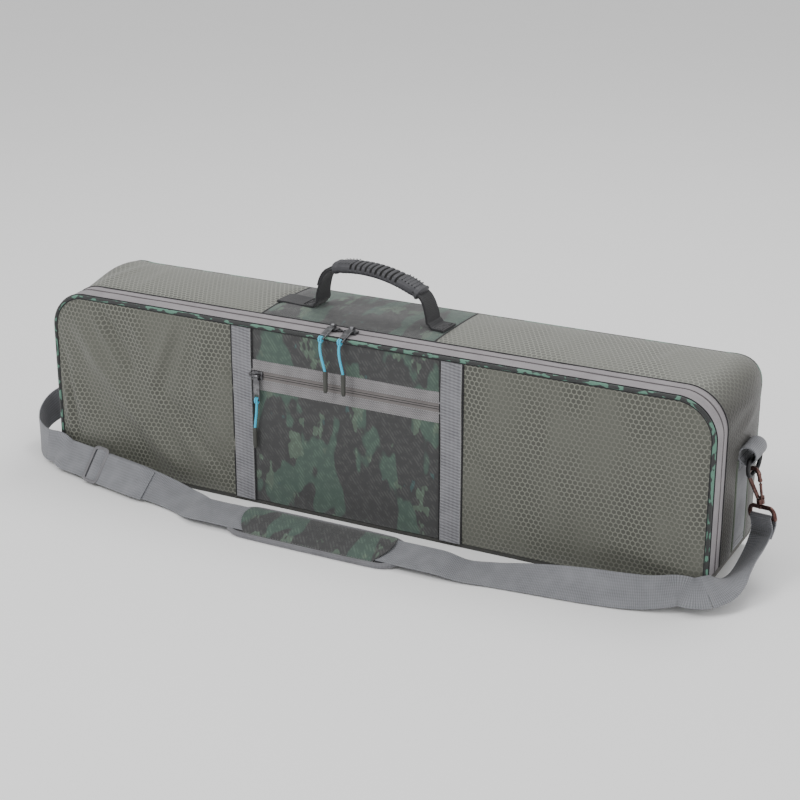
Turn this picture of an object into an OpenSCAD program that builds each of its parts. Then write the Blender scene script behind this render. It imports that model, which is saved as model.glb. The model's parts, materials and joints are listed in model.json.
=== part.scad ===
// Soft rod case with a zipped front lid, a carrying handle and a clip-on shoulder strap.
// The origin is the centre of the flat base. X runs along the case, the lid faces -Y, Z is up.

/* [Case] */
// Length of the case
case_l = 824; // [760:1:900]
// Height of the case
case_h = 220; // [200:1:240]
// Distance from the middle to the outer face of the lid and of the back panel
face_y = 76; // [70:1:84]
// Radius of the two top corners
corner_r = 45; // [30:1:60]
// Radius of the two bottom corners
foot_r = 22; // [14:1:30]
// Radius of the piping
piping_r = 2.2; // [1.6:0.1:2.4]

/* [Layers] */
// Thickness of the outer fabric
skin_t = 2.2; // [1.6:0.1:2.4]
// Thickness of the foam boards
foam_t = 5; // [3:0.5:6]
// Thickness of the lining
lining_t = 1; // [0.6:0.1:1.4]
// Thickness of the zip tape
tape_t = 1.2; // [0.8:0.1:1.4]

/* [Lid] */
// Height of the zip ends above the base
zip_end_z = 24; // [24:1:40]
// Where the two rows of zip teeth meet, in front of the middle
zip_y = -54; // [-56:1:-50]
// Width of the tape on the case side of the zip
case_tape_w = 12; // [8:1:14]
// Middle of the printed panel
print_x = -14.5; // [-20:0.5:20]
// Width of the printed panel between the webbing bands
print_w = 239; // [220:1:260]
// Width of the webbing bands on the lid
band_w = 25; // [20:1:30]
// Height of the pocket zip's middle
pocket_z = 160.5; // [140:0.5:170]

/* [Handle] */
// Length of the webbing handle between its feet
handle_span = 148; // [140:1:180]
// Height of the middle of the grip above the case
grip_rise = 56; // [45:1:60]
// Radius of the arch of the grip
grip_arch_r = 165; // [120:1:200]

/* [Strap] */
// Width of the shoulder strap
strap_w = 38; // [38:1:40]
// Thickness of the shoulder strap
strap_t = 1.6; // [1.2:0.1:1.8]
// Length of the shoulder pad
pad_l = 232; // [200:1:240]
// Width of the shoulder pad
pad_w = 49; // [48:1:52]
// How far the pad leans back from upright
pad_lean = 74; // [60:1:80]

/* [Hidden] */

eps = 0.01;
end_x = case_l / 2;
top_z = case_h;
board_y = face_y - piping_r;
lining_y = board_y - foam_t;
inner_y = lining_y - lining_t;
lid_gap = 0.4;
lid_low_z = 4.5;
zip_gap = 0.4;
coil_w = 1.6;
coil_out = 0.6;
coil_y_case = zip_y + zip_gap / 2;
coil_y_lid = zip_y - zip_gap / 2;
gusset_y = coil_y_case + coil_w + case_tape_w;
foam_front_y = coil_y_case + coil_w;
print_lo = print_x - print_w / 2;
print_hi = print_x + print_w / 2;
top_print_lo = -142;
top_print_hi = 78;
tape_w = 12;
pocket_zip_w = 12;
pull_len = 30;
tab_y = 18;
tab_w = 38;
fold_r = 10.5;
fold_z = 136.5;
fold_x = end_x + 14;
ring_r = 2.4;
ring_top_z = 132;
ring_low_z = 112;
ring_half_w = 22;
hook_turn = -24;
hook_tilt = 15;
loop_turn = -14;
hook_r = 2.4;
hook_rod_r = 2.15;
hook_ball_r = 2.55;
loop_half_w = 22;
$fn = 64;

// ---- Outline of the case, seen from the front, drawn inwards by "inset"
module outline(inset) {
    foot = max(foot_r - inset, 0.5);
    for (side = [-1, 1]) {
        translate([side * (end_x - corner_r), top_z - corner_r]) circle(corner_r - inset);
        translate([side * (end_x - foot_r), foot_r]) circle(foot);
    }
    translate([-(end_x - corner_r), top_z / 2])
        square([case_l - 2 * corner_r, top_z / 2 - inset]);
    translate([-(end_x - inset), foot_r])
        square([case_l - 2 * inset, top_z - corner_r - foot_r]);
    translate([-(end_x - foot_r), inset])
        square([case_l - 2 * foot_r, foot_r + 1]);
}

module slab(inset, y0, y1) {
    translate([0, y1, 0]) rotate([90, 0, 0]) linear_extrude(y1 - y0) outline(inset);
}

module ring(inset, t, y0, y1) {
    difference() {
        slab(inset, y0, y1);
        slab(inset + t, y0 - 1, y1 + 1);
    }
}

module block(lo, hi) {
    translate(lo) cube([hi[0] - lo[0], hi[1] - lo[1], hi[2] - lo[2]]);
}

module above(z) {
    block([-end_x - 20, -200, z], [end_x + 20, 200, top_z + 20]);
}

module below(z) {
    block([-end_x - 20, -200, -1], [end_x + 20, 200, z]);
}

module between_x(x0, x1) {
    block([x0, -200, -1], [x1, 200, top_z + 20]);
}

module bar_y(x, z, y0, y1, r) {
    translate([x, y1, z]) rotate([90, 0, 0]) cylinder(h = y1 - y0, r = r);
}

module bar_x(x0, x1, y, z, r) {
    translate([x0, y, z]) rotate([0, 90, 0]) cylinder(h = x1 - x0, r = r);
}

// ---- Piping: a round bead that follows the outline
module bead_corner(x, z, bend_r, turn, y) {
    translate([x, y, z]) rotate([90, turn, 0]) rotate_extrude(angle = 90)
        translate([bend_r, 0]) circle(piping_r, $fn = 32);
}

module bead_top(y, low_z) {
    inset = piping_r;
    for (side = [-1, 1])
        translate([side * (end_x - inset), y, low_z])
            cylinder(h = top_z - corner_r - low_z, r = piping_r, $fn = 32);
    translate([-(end_x - corner_r), y, top_z - inset]) rotate([0, 90, 0])
        cylinder(h = case_l - 2 * corner_r, r = piping_r, $fn = 32);
    bead_corner(end_x - corner_r, top_z - corner_r, corner_r - inset, 0, y);
    bead_corner(-(end_x - corner_r), top_z - corner_r, corner_r - inset, -90, y);
}

module bead_bottom(y) {
    translate([-(end_x - foot_r), y, piping_r]) rotate([0, 90, 0])
        cylinder(h = case_l - 2 * foot_r, r = piping_r, $fn = 32);
    bead_corner(end_x - foot_r, foot_r, foot_r - piping_r, 90, y);
    bead_corner(-(end_x - foot_r), foot_r, foot_r - piping_r, 180, y);
}

// ---- Case: fabric, foam and lining
module back_panel() {
    color("#6b6c60") slab(2 * piping_r, board_y, face_y);
}

module back_board() {
    color("#3c3c3e") slab(skin_t, lining_y, board_y);
}

module gusset_side(side) {
    x_top = side > 0 ? top_print_hi : -top_print_lo;
    intersection() {
        ring(0, skin_t, gusset_y, board_y);
        above(zip_end_z);
        if (side > 0) between_x(x_top, end_x + 5);
        else between_x(-end_x - 5, -x_top);
    }
    intersection() {
        ring(0, skin_t, -inner_y + lid_gap, board_y);
        below(zip_end_z);
        on_side(side) between_x(end_x - foot_r, end_x + 5);
    }
}

module gusset_left() {
    color("#6b6c60") gusset_side(-1);
}

module gusset_right() {
    color("#6b6c60") gusset_side(1);
}

module top_print_panel() {
    color("#3c3c3a") intersection() {
        ring(0, skin_t, gusset_y, board_y);
        above(top_z / 2);
        between_x(top_print_lo, top_print_hi);
    }
}

module base_panel() {
    color("#55564c") block([-(end_x - foot_r), -inner_y + lid_gap, 0], [end_x - foot_r, board_y, skin_t]);
}

module lid_hinge_strip() {
    color("#3c3c3e") block([-(end_x - foot_r), -face_y, 0], [end_x - foot_r, -inner_y + lid_gap, 4]);
}

module gusset_foam() {
    color("#2f2f31") union() {
        intersection() {
            ring(skin_t, foam_t, foam_front_y, lining_y);
            above(zip_end_z);
        }
        intersection() {
            ring(skin_t, foam_t, -inner_y + lid_gap, lining_y);
            below(zip_end_z);
        }
    }
}

module case_lining() {
    inset = skin_t + foam_t;
    color("#1f1f21") union() {
        slab(inset, inner_y, lining_y);
        intersection() {
            ring(inset, lining_t, foam_front_y, inner_y);
            above(zip_end_z);
        }
        intersection() {
            ring(inset, lining_t, -inner_y + lid_gap, inner_y);
            below(zip_end_z);
        }
    }
}

module back_piping() {
    color("#303034") union() {
        bead_top(face_y, foot_r);
        bead_bottom(face_y);
    }
}

module case_zip_tape() {
    color("#78716f") intersection() {
        ring(0, tape_t, coil_y_case + coil_w, gusset_y);
        above(zip_end_z);
    }
}

module case_zip_coil() {
    color("#5e585a") intersection() {
        ring(-coil_out, tape_t + coil_out, coil_y_case, coil_y_case + coil_w);
        above(zip_end_z);
    }
}

module divider(x) {
    inset = skin_t + foam_t + lining_t;
    color("#2a2a2c") block([x - 3, -50, inset], [x + 3, inner_y, top_z - inset]);
}

module divider_left() {
    divider(-135);
}

module divider_right() {
    divider(135);
}

// ---- Lid: panels, foam, lining, bands and the front pocket
module lid_layer(inset, y0, y1) {
    intersection() {
        slab(inset, y0, y1);
        above(lid_low_z);
    }
}

module lid_skin(x0, x1) {
    intersection() {
        lid_layer(2 * piping_r, -face_y, -board_y);
        between_x(x0, x1);
    }
}

module lid_panel_left() {
    color("#6b6c60") lid_skin(-end_x, print_lo - band_w / 2);
}

module lid_panel_right() {
    color("#6b6c60") lid_skin(print_hi + band_w / 2, end_x);
}

module lid_print_panel() {
    color("#3c3c3a") lid_skin(print_lo - band_w / 2, print_hi + band_w / 2);
}

module liner_block() {
    block([print_lo + 6, -board_y, 26], [print_hi - 6, -board_y + 1, pocket_z + 8]);
}

module lid_board() {
    color("#2f2f31") difference() {
        lid_layer(tape_t, -board_y, -lining_y);
        liner_block();
    }
}

module pocket_liner() {
    color("#1f1f21") liner_block();
}

module lid_lining() {
    color("#1f1f21") lid_layer(tape_t, -lining_y, -inner_y);
}

module lid_piping() {
    color("#6fb496") bead_top(-face_y, lid_low_z);
}

module lid_zip_tape() {
    color("#78716f") intersection() {
        ring(0, tape_t, -board_y, coil_y_lid - coil_w);
        above(zip_end_z + 0.4);
    }
}

module lid_zip_coil() {
    color("#5e585a") intersection() {
        ring(-coil_out, tape_t + coil_out, coil_y_lid - coil_w, coil_y_lid);
        above(zip_end_z + 0.4);
    }
}

module lid_band(x0) {
    color("#76767a") block([x0, -face_y - 1.6, lid_low_z], [x0 + band_w, -face_y, top_z - 2 * piping_r]);
}

module lid_band_left() {
    lid_band(print_lo - band_w);
}

module lid_band_right() {
    lid_band(print_hi);
}

module pocket_strip(z0, z1, t) {
    block([print_lo, -face_y - t, z0], [print_hi, -face_y, z1]);
}

module pocket_tape_upper() {
    color("#7d7a7c") pocket_strip(pocket_z + pocket_zip_w / 2, pocket_z + pocket_zip_w / 2 + tape_w, 1.2);
}

module pocket_tape_lower() {
    color("#7d7a7c") pocket_strip(pocket_z - pocket_zip_w / 2 - tape_w, pocket_z - pocket_zip_w / 2, 1.2);
}

module pocket_zip() {
    color("#6f6665") pocket_strip(pocket_z - pocket_zip_w / 2, pocket_z + pocket_zip_w / 2, 1.6);
}

// ---- Zip sliders, pull tabs, cords and their rubber ends
// A slider lies in the XY plane with its nose along +X. Its pull turns on a bar along X.
main_bar_z = 6.1;
pocket_bar_z = 4.4;
slider_bar_r = 0.9;
pull_t = 1.3;
main_slider_y = -56;
main_slider_z = top_z + coil_out + 0.3;
main_slider_x = [-39, -15];
pull_drop = 15;
pocket_slider_x = print_lo + 9;

module slider(nose, bar_z, base_t) {
    translate([-6.5, -5, 0]) cube([13, 10, base_t]);
    translate([nose * 8.5, 0, 0]) difference() {
        cylinder(h = 1.6, r = 3.2);
        translate([0, 0, -1]) cylinder(h = 4, r = 1.6);
    }
    for (x = [-3.6, 2.4])
        translate([x, -1.6, base_t - eps]) cube([1.2, 3.2, bar_z - base_t + 1.5]);
    translate([-3, 0, bar_z]) rotate([0, 90, 0]) cylinder(h = 6, r = slider_bar_r, $fn = 32);
}

// A pull hangs from the origin along -Z, with its eye round the X axis
module pull() {
    difference() {
        union() {
            translate([-2.2, 0, 0]) rotate([0, 90, 0]) cylinder(h = 4.4, r = 1.9, $fn = 32);
            translate([-2.2, -pull_t / 2, -6]) cube([4.4, pull_t, 6]);
            translate([-4, -pull_t / 2, -pull_len]) cube([8, pull_t, pull_len - 5]);
        }
        translate([-3, 0, 0]) rotate([0, 90, 0])
            cylinder(h = 6, r = slider_bar_r + 0.06, $fn = 32);
        translate([-2.6, -2, -pull_len + 1.6]) cube([5.2, 4, 6]);
    }
}

module main_slider(i, nose) {
    color("#5a5a5e") translate([main_slider_x[i], main_slider_y, main_slider_z]) slider(nose, main_bar_z, 2.4);
}

module slider_left() {
    main_slider(0, 1);
}

module slider_right() {
    main_slider(1, -1);
}

module slider_pocket() {
    color("#5a5a5e") translate([pocket_slider_x, -face_y - 1.9, pocket_z]) rotate([90, 0, 0])
        slider(-1, pocket_bar_z, 1.8);
}

module main_pull(i) {
    color("#8a8a8e") translate([main_slider_x[i], main_slider_y, main_slider_z + main_bar_z])
        rotate([-90 + pull_drop, 0, 0]) pull();
}

module pull_left() {
    main_pull(0);
}

module pull_right() {
    main_pull(1);
}

module pull_pocket() {
    color("#8a8a8e") translate([pocket_slider_x, -face_y - 1.9 - pocket_bar_z, pocket_z]) pull();
}

// Points of the three pull cords, from the pull's window down to the rubber end
cord_r = 1.6;
cord_left_route = [[-39, -85, 216], [-38.7, -86.6, 212], [-38, -87.6, 207], [-37, -88, 202],
    [-35.8, -88, 197], [-34.4, -88, 192], [-33, -88, 187], [-31.6, -88, 182]];
cord_right_route = [[-15, -85, 216], [-14.8, -86.6, 212], [-14.3, -87.6, 207], [-13.5, -88, 202],
    [-12.5, -88, 197], [-11.3, -88, 192], [-10.1, -88, 187], [-9, -88, 182]];
cord_pocket_route = [[-125, -82.3, 129.5], [-125.2, -82.4, 126], [-125.6, -82.4, 121], [-126.1, -82.3, 116],
    [-126.8, -82.2, 111], [-127.5, -82.1, 106], [-128.2, -82, 101], [-128.8, -82, 96]];

function unit(v) = v / norm(v);
function ahead(path, i) = unit(path[min(i + 1, len(path) - 1)] - path[max(i - 1, 0)]);
function tube_ring(path, i, r, sides) = let (t = ahead(path, i), a = unit(cross(t, [0, 1, 0])), b = cross(t, a))
    [for (k = [0 : sides - 1]) path[i] + r * cos(360 * k / sides) * a + r * sin(360 * k / sides) * b];

module tube(path, r, sides) {
    n = len(path);
    rings = [for (i = [0 : n - 1]) each tube_ring(path, i, r, sides)];
    walls = [for (i = [0 : n - 2]) for (k = [0 : sides - 1])
        [i * sides + k, i * sides + (k + 1) % sides, (i + 1) * sides + (k + 1) % sides, (i + 1) * sides + k]];
    first = [for (k = [sides - 1 : -1 : 0]) k];
    last = [for (k = [0 : sides - 1]) (n - 1) * sides + k];
    polyhedron(points = rings, faces = concat(walls, [first, last]), convexity = 4);
}

module pull_cord(route) {
    color("#3cbee6") tube(route, cord_r, 8);
}

module cord_left() {
    pull_cord(cord_left_route);
}

module cord_right() {
    pull_cord(cord_right_route);
}

module cord_pocket() {
    pull_cord(cord_pocket_route);
}

module cord_tip(end) {
    color("#46463f") translate(end - [0, 0, 24.6]) {
        cylinder(h = 24, r1 = 2.7, r2 = 2.3, $fn = 32);
        sphere(2.7, $fn = 32);
    }
}

module cord_tip_left() {
    cord_tip(cord_left_route[7]);
}

module cord_tip_right() {
    cord_tip(cord_right_route[7]);
}

module cord_tip_pocket() {
    cord_tip(cord_pocket_route[7]);
}

// ---- Handle, turned a little about the vertical
handle_x = -16;
handle_y = 5;
handle_yaw = -2.5;
foot_w = 30;
grip_shift = 5;
grip_tilt = 7.5;
grip_half_angle = 20;
grip_w = 27;
grip_t = 13;

module at_handle() {
    translate([handle_x, handle_y, top_z]) rotate([0, 0, handle_yaw]) children();
}

module handle_feet() {
    color("#1d1d1d") at_handle() for (side = [-1, 1])
        translate([side * (handle_span / 2 + 7) - 13, -foot_w / 2, 0]) cube([26, foot_w, 2]);
}

// A point of the grip's arch at angle a from its crest, as [along the handle, height]
function on_arch(a) = let (u = grip_arch_r * sin(a), w = grip_arch_r * (cos(a) - 1))
    [grip_shift + u * cos(grip_tilt) + w * sin(grip_tilt), grip_rise - u * sin(grip_tilt) + w * cos(grip_tilt)];

module handle_webbing() {
    foot_v = 3.4;
    color("#1d1d1d") at_handle() for (side = [-1, 1]) {
        top = on_arch(side * grip_half_angle);
        run = [top[0] - side * handle_span / 2, top[1] - foot_v];
        translate([side * handle_span / 2, 0, foot_v]) rotate([0, atan2(run[0], run[1]), 0])
            translate([-1.3, -foot_w / 2, 0]) cube([2.6, foot_w, norm(run) - 2.4]);
    }
}

module grip_profile(extra) {
    translate([grip_arch_r, 0]) {
        square([grip_t + extra, grip_w - grip_t], center = true);
        for (side = [-1, 1]) translate([0, side * (grip_w - grip_t) / 2]) circle((grip_t + extra) / 2);
    }
}

module handle_grip() {
    color("#3f3f43") at_handle() translate([grip_shift, 0, grip_rise]) rotate([0, grip_tilt, 0])
        translate([0, 0, -grip_arch_r]) rotate([90, 0, 0]) difference() {
            rotate([0, 0, 90 - grip_half_angle]) rotate_extrude(angle = 2 * grip_half_angle, $fn = 180)
                grip_profile(0);
            for (k = [-4.5 : 4.5]) rotate([0, 0, 2.25 * k + 1]) translate([-1.3, grip_arch_r + 4.8, -10])
                cube([2.6, 4, 20]);
        }
}

// ---- Case ends: sewn tabs, rings and the loops the strap is sewn to
module on_side(side) {
    if (side > 0) children();
    else mirror([1, 0, 0]) children();
}

module end_tab(side) {
    y0 = tab_y - tab_w / 2;
    y1 = tab_y + tab_w / 2;
    color("#76767a") on_side(side) union() {
        block([end_x, y0, zip_end_z + 2], [end_x + 1.8, y1, fold_z]);
        difference() {
            bar_y(end_x + fold_r, fold_z, y0, y1, fold_r);
            bar_y(end_x + fold_r, fold_z, y0 - 1, y1 + 1, fold_r - 1.8);
        }
    }
}

module end_tab_left() {
    end_tab(-1);
}

module end_tab_right() {
    end_tab(1);
}

// A round bar bent to a rounded rectangle in the YZ plane, centred on y = 0 and reaching half_w each way
module bent_loop(half_w, low_z, high_z, bend, r) {
    for (side = [-1, 1]) {
        translate([0, side * half_w, low_z + bend]) cylinder(h = high_z - low_z - bend, r = r, $fn = 32);
        translate([0, side * half_w, high_z]) sphere(r, $fn = 32);
        translate([0, side * (half_w - bend), low_z + bend]) rotate([0, 90, 0])
            rotate([0, 0, side > 0 ? 0 : -90]) rotate_extrude(angle = 90) translate([bend, 0]) circle(r, $fn = 32);
    }
    bar_y(0, low_z, -half_w + bend, half_w - bend, r);
    bar_y(0, high_z, -half_w, half_w, r);
}

module d_ring(side) {
    color("#1b1b1d") on_side(side) translate([fold_x, tab_y, 0])
        bent_loop(ring_half_w, ring_low_z, ring_top_z, 13, ring_r);
}

module d_ring_left() {
    d_ring(-1);
}

module d_ring_right() {
    d_ring(1);
}

// Frame of a hook: X along the hook's width, origin at the middle of the ring's lower bar
module at_hook(side) {
    on_side(side) translate([fold_x, tab_y, ring_low_z]) rotate([0, 0, hook_turn])
        rotate([0, -hook_tilt, 0]) children();
}

hook_u = 4.5;
bow_r = 7.5;
bow_z = -2.6;
nose_z = -8;
collar_low = -33.5;
collar_h = 5;
collar_r = 4.4;
stem_r = 1.6;
loop_top = -37;
loop_low = -48;
gate_foot = [hook_u + 2.4, 0, collar_low + 7.1];
gate_head = [bow_r + 0.2, 0, nose_z - hook_ball_r - 1.9];
gate_r = 1.5;
gate_ball_r = 1.75;
pin_r = 0.7;

module rod(a, b, r) {
    d = b - a;
    translate(a) rotate([0, acos(d[2] / norm(d)), atan2(d[1], d[0])]) cylinder(h = norm(d), r = r, $fn = 32);
}

module hook_loop(side) {
    color("#4e3230") at_hook(side) translate([hook_u, 0, 0]) rotate([0, 0, loop_turn]) {
        translate([0, 0, loop_top + loop_low]) rotate([180, 0, 90])
            bent_loop(loop_half_w, loop_low, loop_top, 8, hook_r);
        translate([0, 0, loop_top]) cylinder(h = collar_low + 2.4 - loop_top, r = stem_r, $fn = 32);
        translate([0, 0, loop_top - 1.5]) cylinder(h = 3, r = 3.4, $fn = 32);
        translate([0, 0, collar_low + 1.5]) cylinder(h = 1.4, r = 3.2, $fn = 32);
    }
}

module hook_loop_left() {
    hook_loop(-1);
}

module hook_loop_right() {
    hook_loop(1);
}

module snap_hook(side) {
    left = [-bow_r, 0, bow_z];
    right = [bow_r, 0, bow_z];
    nose = [bow_r + 0.3, 0, nose_z];
    heel = [hook_u - 2.6, 0, collar_low + collar_h + 0.6];
    color("#4e3230") at_hook(side) union() {
        translate([0, 0, bow_z]) rotate([90, 0, 0]) rotate_extrude(angle = 180)
            translate([bow_r, 0]) circle(hook_r, $fn = 32);
        rod(left, heel, hook_rod_r);
        rod(right, nose, hook_rod_r);
        for (p = [left, nose])
            translate(p) sphere(hook_ball_r, $fn = 32);
        difference() {
            translate([hook_u, 0, collar_low]) cylinder(h = collar_h, r = collar_r, $fn = 48);
            translate([hook_u, 0, collar_low + 1.2]) cylinder(h = 2.2, r = 3.5, $fn = 48);
            translate([hook_u, 0, collar_low - 1]) cylinder(h = 3, r = stem_r + 0.06, $fn = 48);
        }
        for (y = [-2.6, 1.5])
            translate(gate_foot + [-1.6, y, -2.3]) cube([3.2, 1.1, 4]);
        translate(gate_foot + [0, 2.6, 0]) rotate([90, 0, 0]) cylinder(h = 5.2, r = pin_r, $fn = 32);
    }
}

module snap_hook_left() {
    snap_hook(-1);
}

module snap_hook_right() {
    snap_hook(1);
}

module hook_gate(side) {
    color("#5e403c") at_hook(side) difference() {
        union() {
            translate(gate_foot + [0, 1.2, 0]) rotate([90, 0, 0]) cylinder(h = 2.4, r = 1.7, $fn = 32);
            rod(gate_foot, gate_head, gate_r);
            translate(gate_head) sphere(gate_ball_r, $fn = 32);
        }
        translate(gate_foot + [0, 3, 0]) rotate([90, 0, 0]) cylinder(h = 6, r = pin_r + 0.06, $fn = 32);
    }
}

module hook_gate_left() {
    hook_gate(-1);
}

module hook_gate_right() {
    hook_gate(1);
}

// ---- Shoulder strap: flat webbing, given by its middle line and the direction of its width
// Each row is [middle point, direction across the strap]
function tilted(u, w) = [u * cos(hook_tilt) - w * sin(hook_tilt), u * sin(hook_tilt) + w * cos(hook_tilt)];
function hook_dir(u, v, w) = let (t = tilted(u, w))
    [t[0] * cos(hook_turn) - v * sin(hook_turn), t[0] * sin(hook_turn) + v * cos(hook_turn), t[1]];
function flip(v) = [-v[0], v[1], v[2]];
function lean_dir(a) = [0, sin(a), cos(a)];
function on_floor(x, y, z, lean) = [[x, y, z] + strap_w / 2 * lean_dir(lean), lean_dir(lean)];

strap_start = [fold_x, tab_y, ring_low_z] + hook_dir(hook_u, 0, loop_low - hook_r - 0.9);
bar_dir = hook_dir(cos(loop_turn), sin(loop_turn), 0);
strap_lean = 36;
line_slope = -0.2125;
function on_line(x) = -109.5 + line_slope * (x + 390);
right_end_rows = [
    [strap_start, -bar_dir],
    [[442, 8.6, 54], -bar_dir],
    [[441, 2, 44], [-0.72, 0.64, -0.28]],
    [[439.5, -8, 36], [-0.66, 0.68, -0.32]],
    [[438, -22, 30], [-0.58, 0.74, -0.34]],
    [[436.5, -38, 26], [-0.5, 0.8, -0.32]],
    [[434.5, -55, 24], [-0.45, 0.86, -0.2]],
    [[431.5, -71, 23], [-0.42, 0.9, 0.1]],
    [[426.5, -85, 22], [-0.36, 0.84, 0.4]],
    [[418, -95.5, 20.5], [-0.24, 0.8, 0.55]],
    [[405, -102, 19.5], [-0.1, 0.85, 0.52]],
    on_floor(390, -119, 10, 60)];
left_end_rows = [
    [flip(strap_start), flip(bar_dir)],
    [[-444, 13, 56], [-0.85, -0.3, 0.4]],
    [[-449, 10, 53], [-0.6, -0.2, 0.75]],
    [[-458, 2, 49], [-0.25, -0.05, 0.95]],
    [[-466, -12, 44], [-0.1, 0, 1]],
    [[-470, -28, 37], [0, 0, 1]],
    [[-467, -46, 29], [0, 0, 1]],
    [[-457, -62, 25], [0, 0, 1]],
    [[-443, -76, 23.5], [0, 0.1, 1]],
    [[-425, -88, 23.5], [0, 0.25, 0.97]],
    on_floor(-405, -101, 7.5, 26)];
front_rows = [
    on_floor(-405, -101, 7.5, 26),
    on_floor(-390, on_line(-390), 5.4, strap_lean),
    on_floor(-384, on_line(-384), 5.4, strap_lean),
    on_floor(-276, on_line(-276), 5.4, strap_lean),
    on_floor(-270, on_line(-270), 5.4, strap_lean),
    on_floor(-250, -137, 4.4, 48),
    on_floor(-222, -140.5, 3.2, 60),
    on_floor(-195, -148, 3, 67),
    on_floor(-165, -162, 7.8, pad_lean),
    on_floor(-159, -162, 7.8, pad_lean),
    on_floor(129, -162, 7.8, pad_lean),
    on_floor(135, -162, 7.8, pad_lean),
    on_floor(165, -159, 4, 78),
    on_floor(195, -153, 2.4, 73),
    on_floor(235, -148.5, 2, 60),
    on_floor(270, -145, 1.6, 48),
    on_floor(305, -141, 1.4, 39),
    on_floor(337, -136, 2.2, 42),
    on_floor(360, -130, 4, 50),
    on_floor(378, -124, 7.5, 56),
    on_floor(390, -119, 10, 60)];
tail_rows = [
    on_floor(-315, on_line(-315) - 2.9, 5.6, strap_lean),
    on_floor(-270, on_line(-270) - 2.9, 5.6, strap_lean),
    on_floor(-252, -139.8, 4.8, 48)];

function row_ahead(rows, i) = rows[min(i + 1, len(rows) - 1)][0] - rows[max(i - 1, 0)][0];
function row_corners(rows, i) = let (p = rows[i][0], w = strap_w / 2 * unit(rows[i][1]),
        n = (strap_t / 2) * unit(cross(row_ahead(rows, i), w)))
    [p - w + n, p + w + n, p + w - n, p - w - n];

module ribbon(rows) {
    n = len(rows);
    points = [for (i = [0 : n - 1]) each row_corners(rows, i)];
    front_and_edges = [for (i = [0 : n - 2]) for (k = [0, 1, 3]) each [
        [4 * i + k, 4 * i + (k + 1) % 4, 4 * i + 4 + (k + 1) % 4],
        [4 * i + k, 4 * i + 4 + (k + 1) % 4, 4 * i + 4 + k]]];
    back = [for (i = [0 : n - 2]) each [
        [4 * i + 2, 4 * i + 3, 4 * i + 6],
        [4 * i + 3, 4 * i + 7, 4 * i + 6]]];
    ends = [[3, 2, 1], [3, 1, 0], [4 * n - 4, 4 * n - 3, 4 * n - 2], [4 * n - 4, 4 * n - 2, 4 * n - 1]];
    polyhedron(points = points, faces = concat(front_and_edges, back, ends), convexity = 6);
}

module strap_end_left() {
    color("#76767a") ribbon(left_end_rows);
}

module strap_end_right() {
    color("#76767a") ribbon(right_end_rows);
}

module strap_front() {
    color("#76767a") ribbon(front_rows);
}

module strap_tail() {
    color("#76767a") ribbon(tail_rows);
}

// ---- Shoulder pad: Y is the pad's thickness and Z its width, before it leans back
module at_pad() {
    translate([-15, -162, 7.8]) rotate([-pad_lean, 0, 0]) children();
}

module pad_slab(l, w, y0, y1, r) {
    translate([0, y1, (strap_w - w) / 2]) rotate([90, 0, 0]) linear_extrude(y1 - y0) union() {
        translate([-l / 2 + r, 0]) square([l - 2 * r, w]);
        for (side = [-1, 1]) {
            translate([side * (l / 2 - r), r]) circle(r);
            translate([side * (l / 2 - r), w - r]) circle(r);
        }
        translate([-l / 2, r]) square([l, w - 2 * r]);
    }
}

module pad_base() {
    color("#55565c") at_pad() pad_slab(pad_l, pad_w, 1.2, 6.2, 20);
}

module pad_sleeve() {
    edge = (pad_w - strap_w) / 2 - 1;
    color("#3c3c3a") at_pad() {
        pad_slab(pad_l - 36, pad_w, -3.2, -1.2, 8);
        for (z = [-edge - 1, strap_w + 1])
            translate([-pad_l / 2 + 26, -1.2 - eps, z]) cube([pad_l - 52, 2.4 + eps, edge]);
    }
}

// ---- Strap adjuster: two outer bars in front of the webbing, one bar behind it
adjuster_x = -338;

module strap_adjuster() {
    h = strap_w + 6.4;
    color("#8b8b90") translate([adjuster_x, on_line(adjuster_x), 5.4]) rotate([0, 0, atan(line_slope)])
        rotate([-strap_lean, 0, 0]) translate([0, 0, -3.2]) {
            for (x = [-13, 9]) block([x, -4.6, 0], [x + 4, -1.2, h]);
            block([-2, 1.2, 0], [2, 3.8, h]);
            for (z = [0, h - 2.8]) {
                block([-13, -4.6, z], [13, -1.2, z + 2.8]);
                block([-2, -1.2, z], [2, 1.2, z + 2.8]);
            }
        }
}

back_panel();
back_board();
gusset_left();
gusset_right();
top_print_panel();
base_panel();
lid_hinge_strip();
gusset_foam();
case_lining();
back_piping();
case_zip_tape();
case_zip_coil();
divider_left();
divider_right();
handle_feet();
end_tab_left();
end_tab_right();
hook_loop_left();
hook_loop_right();
lid_panel_left();
lid_panel_right();
lid_print_panel();
lid_board();
lid_lining();
lid_piping();
lid_zip_tape();
lid_zip_coil();
lid_band_left();
lid_band_right();
pocket_tape_upper();
pocket_tape_lower();
pocket_zip();
pocket_liner();
slider_left();
slider_right();
slider_pocket();
pull_left();
pull_right();
pull_pocket();
cord_left();
cord_right();
cord_pocket();
cord_tip_left();
cord_tip_right();
cord_tip_pocket();
handle_webbing();
handle_grip();
d_ring_left();
d_ring_right();
snap_hook_left();
snap_hook_right();
hook_gate_left();
hook_gate_right();
strap_end_left();
strap_end_right();
strap_front();
strap_tail();
pad_base();
pad_sleeve();
strap_adjuster();
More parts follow.
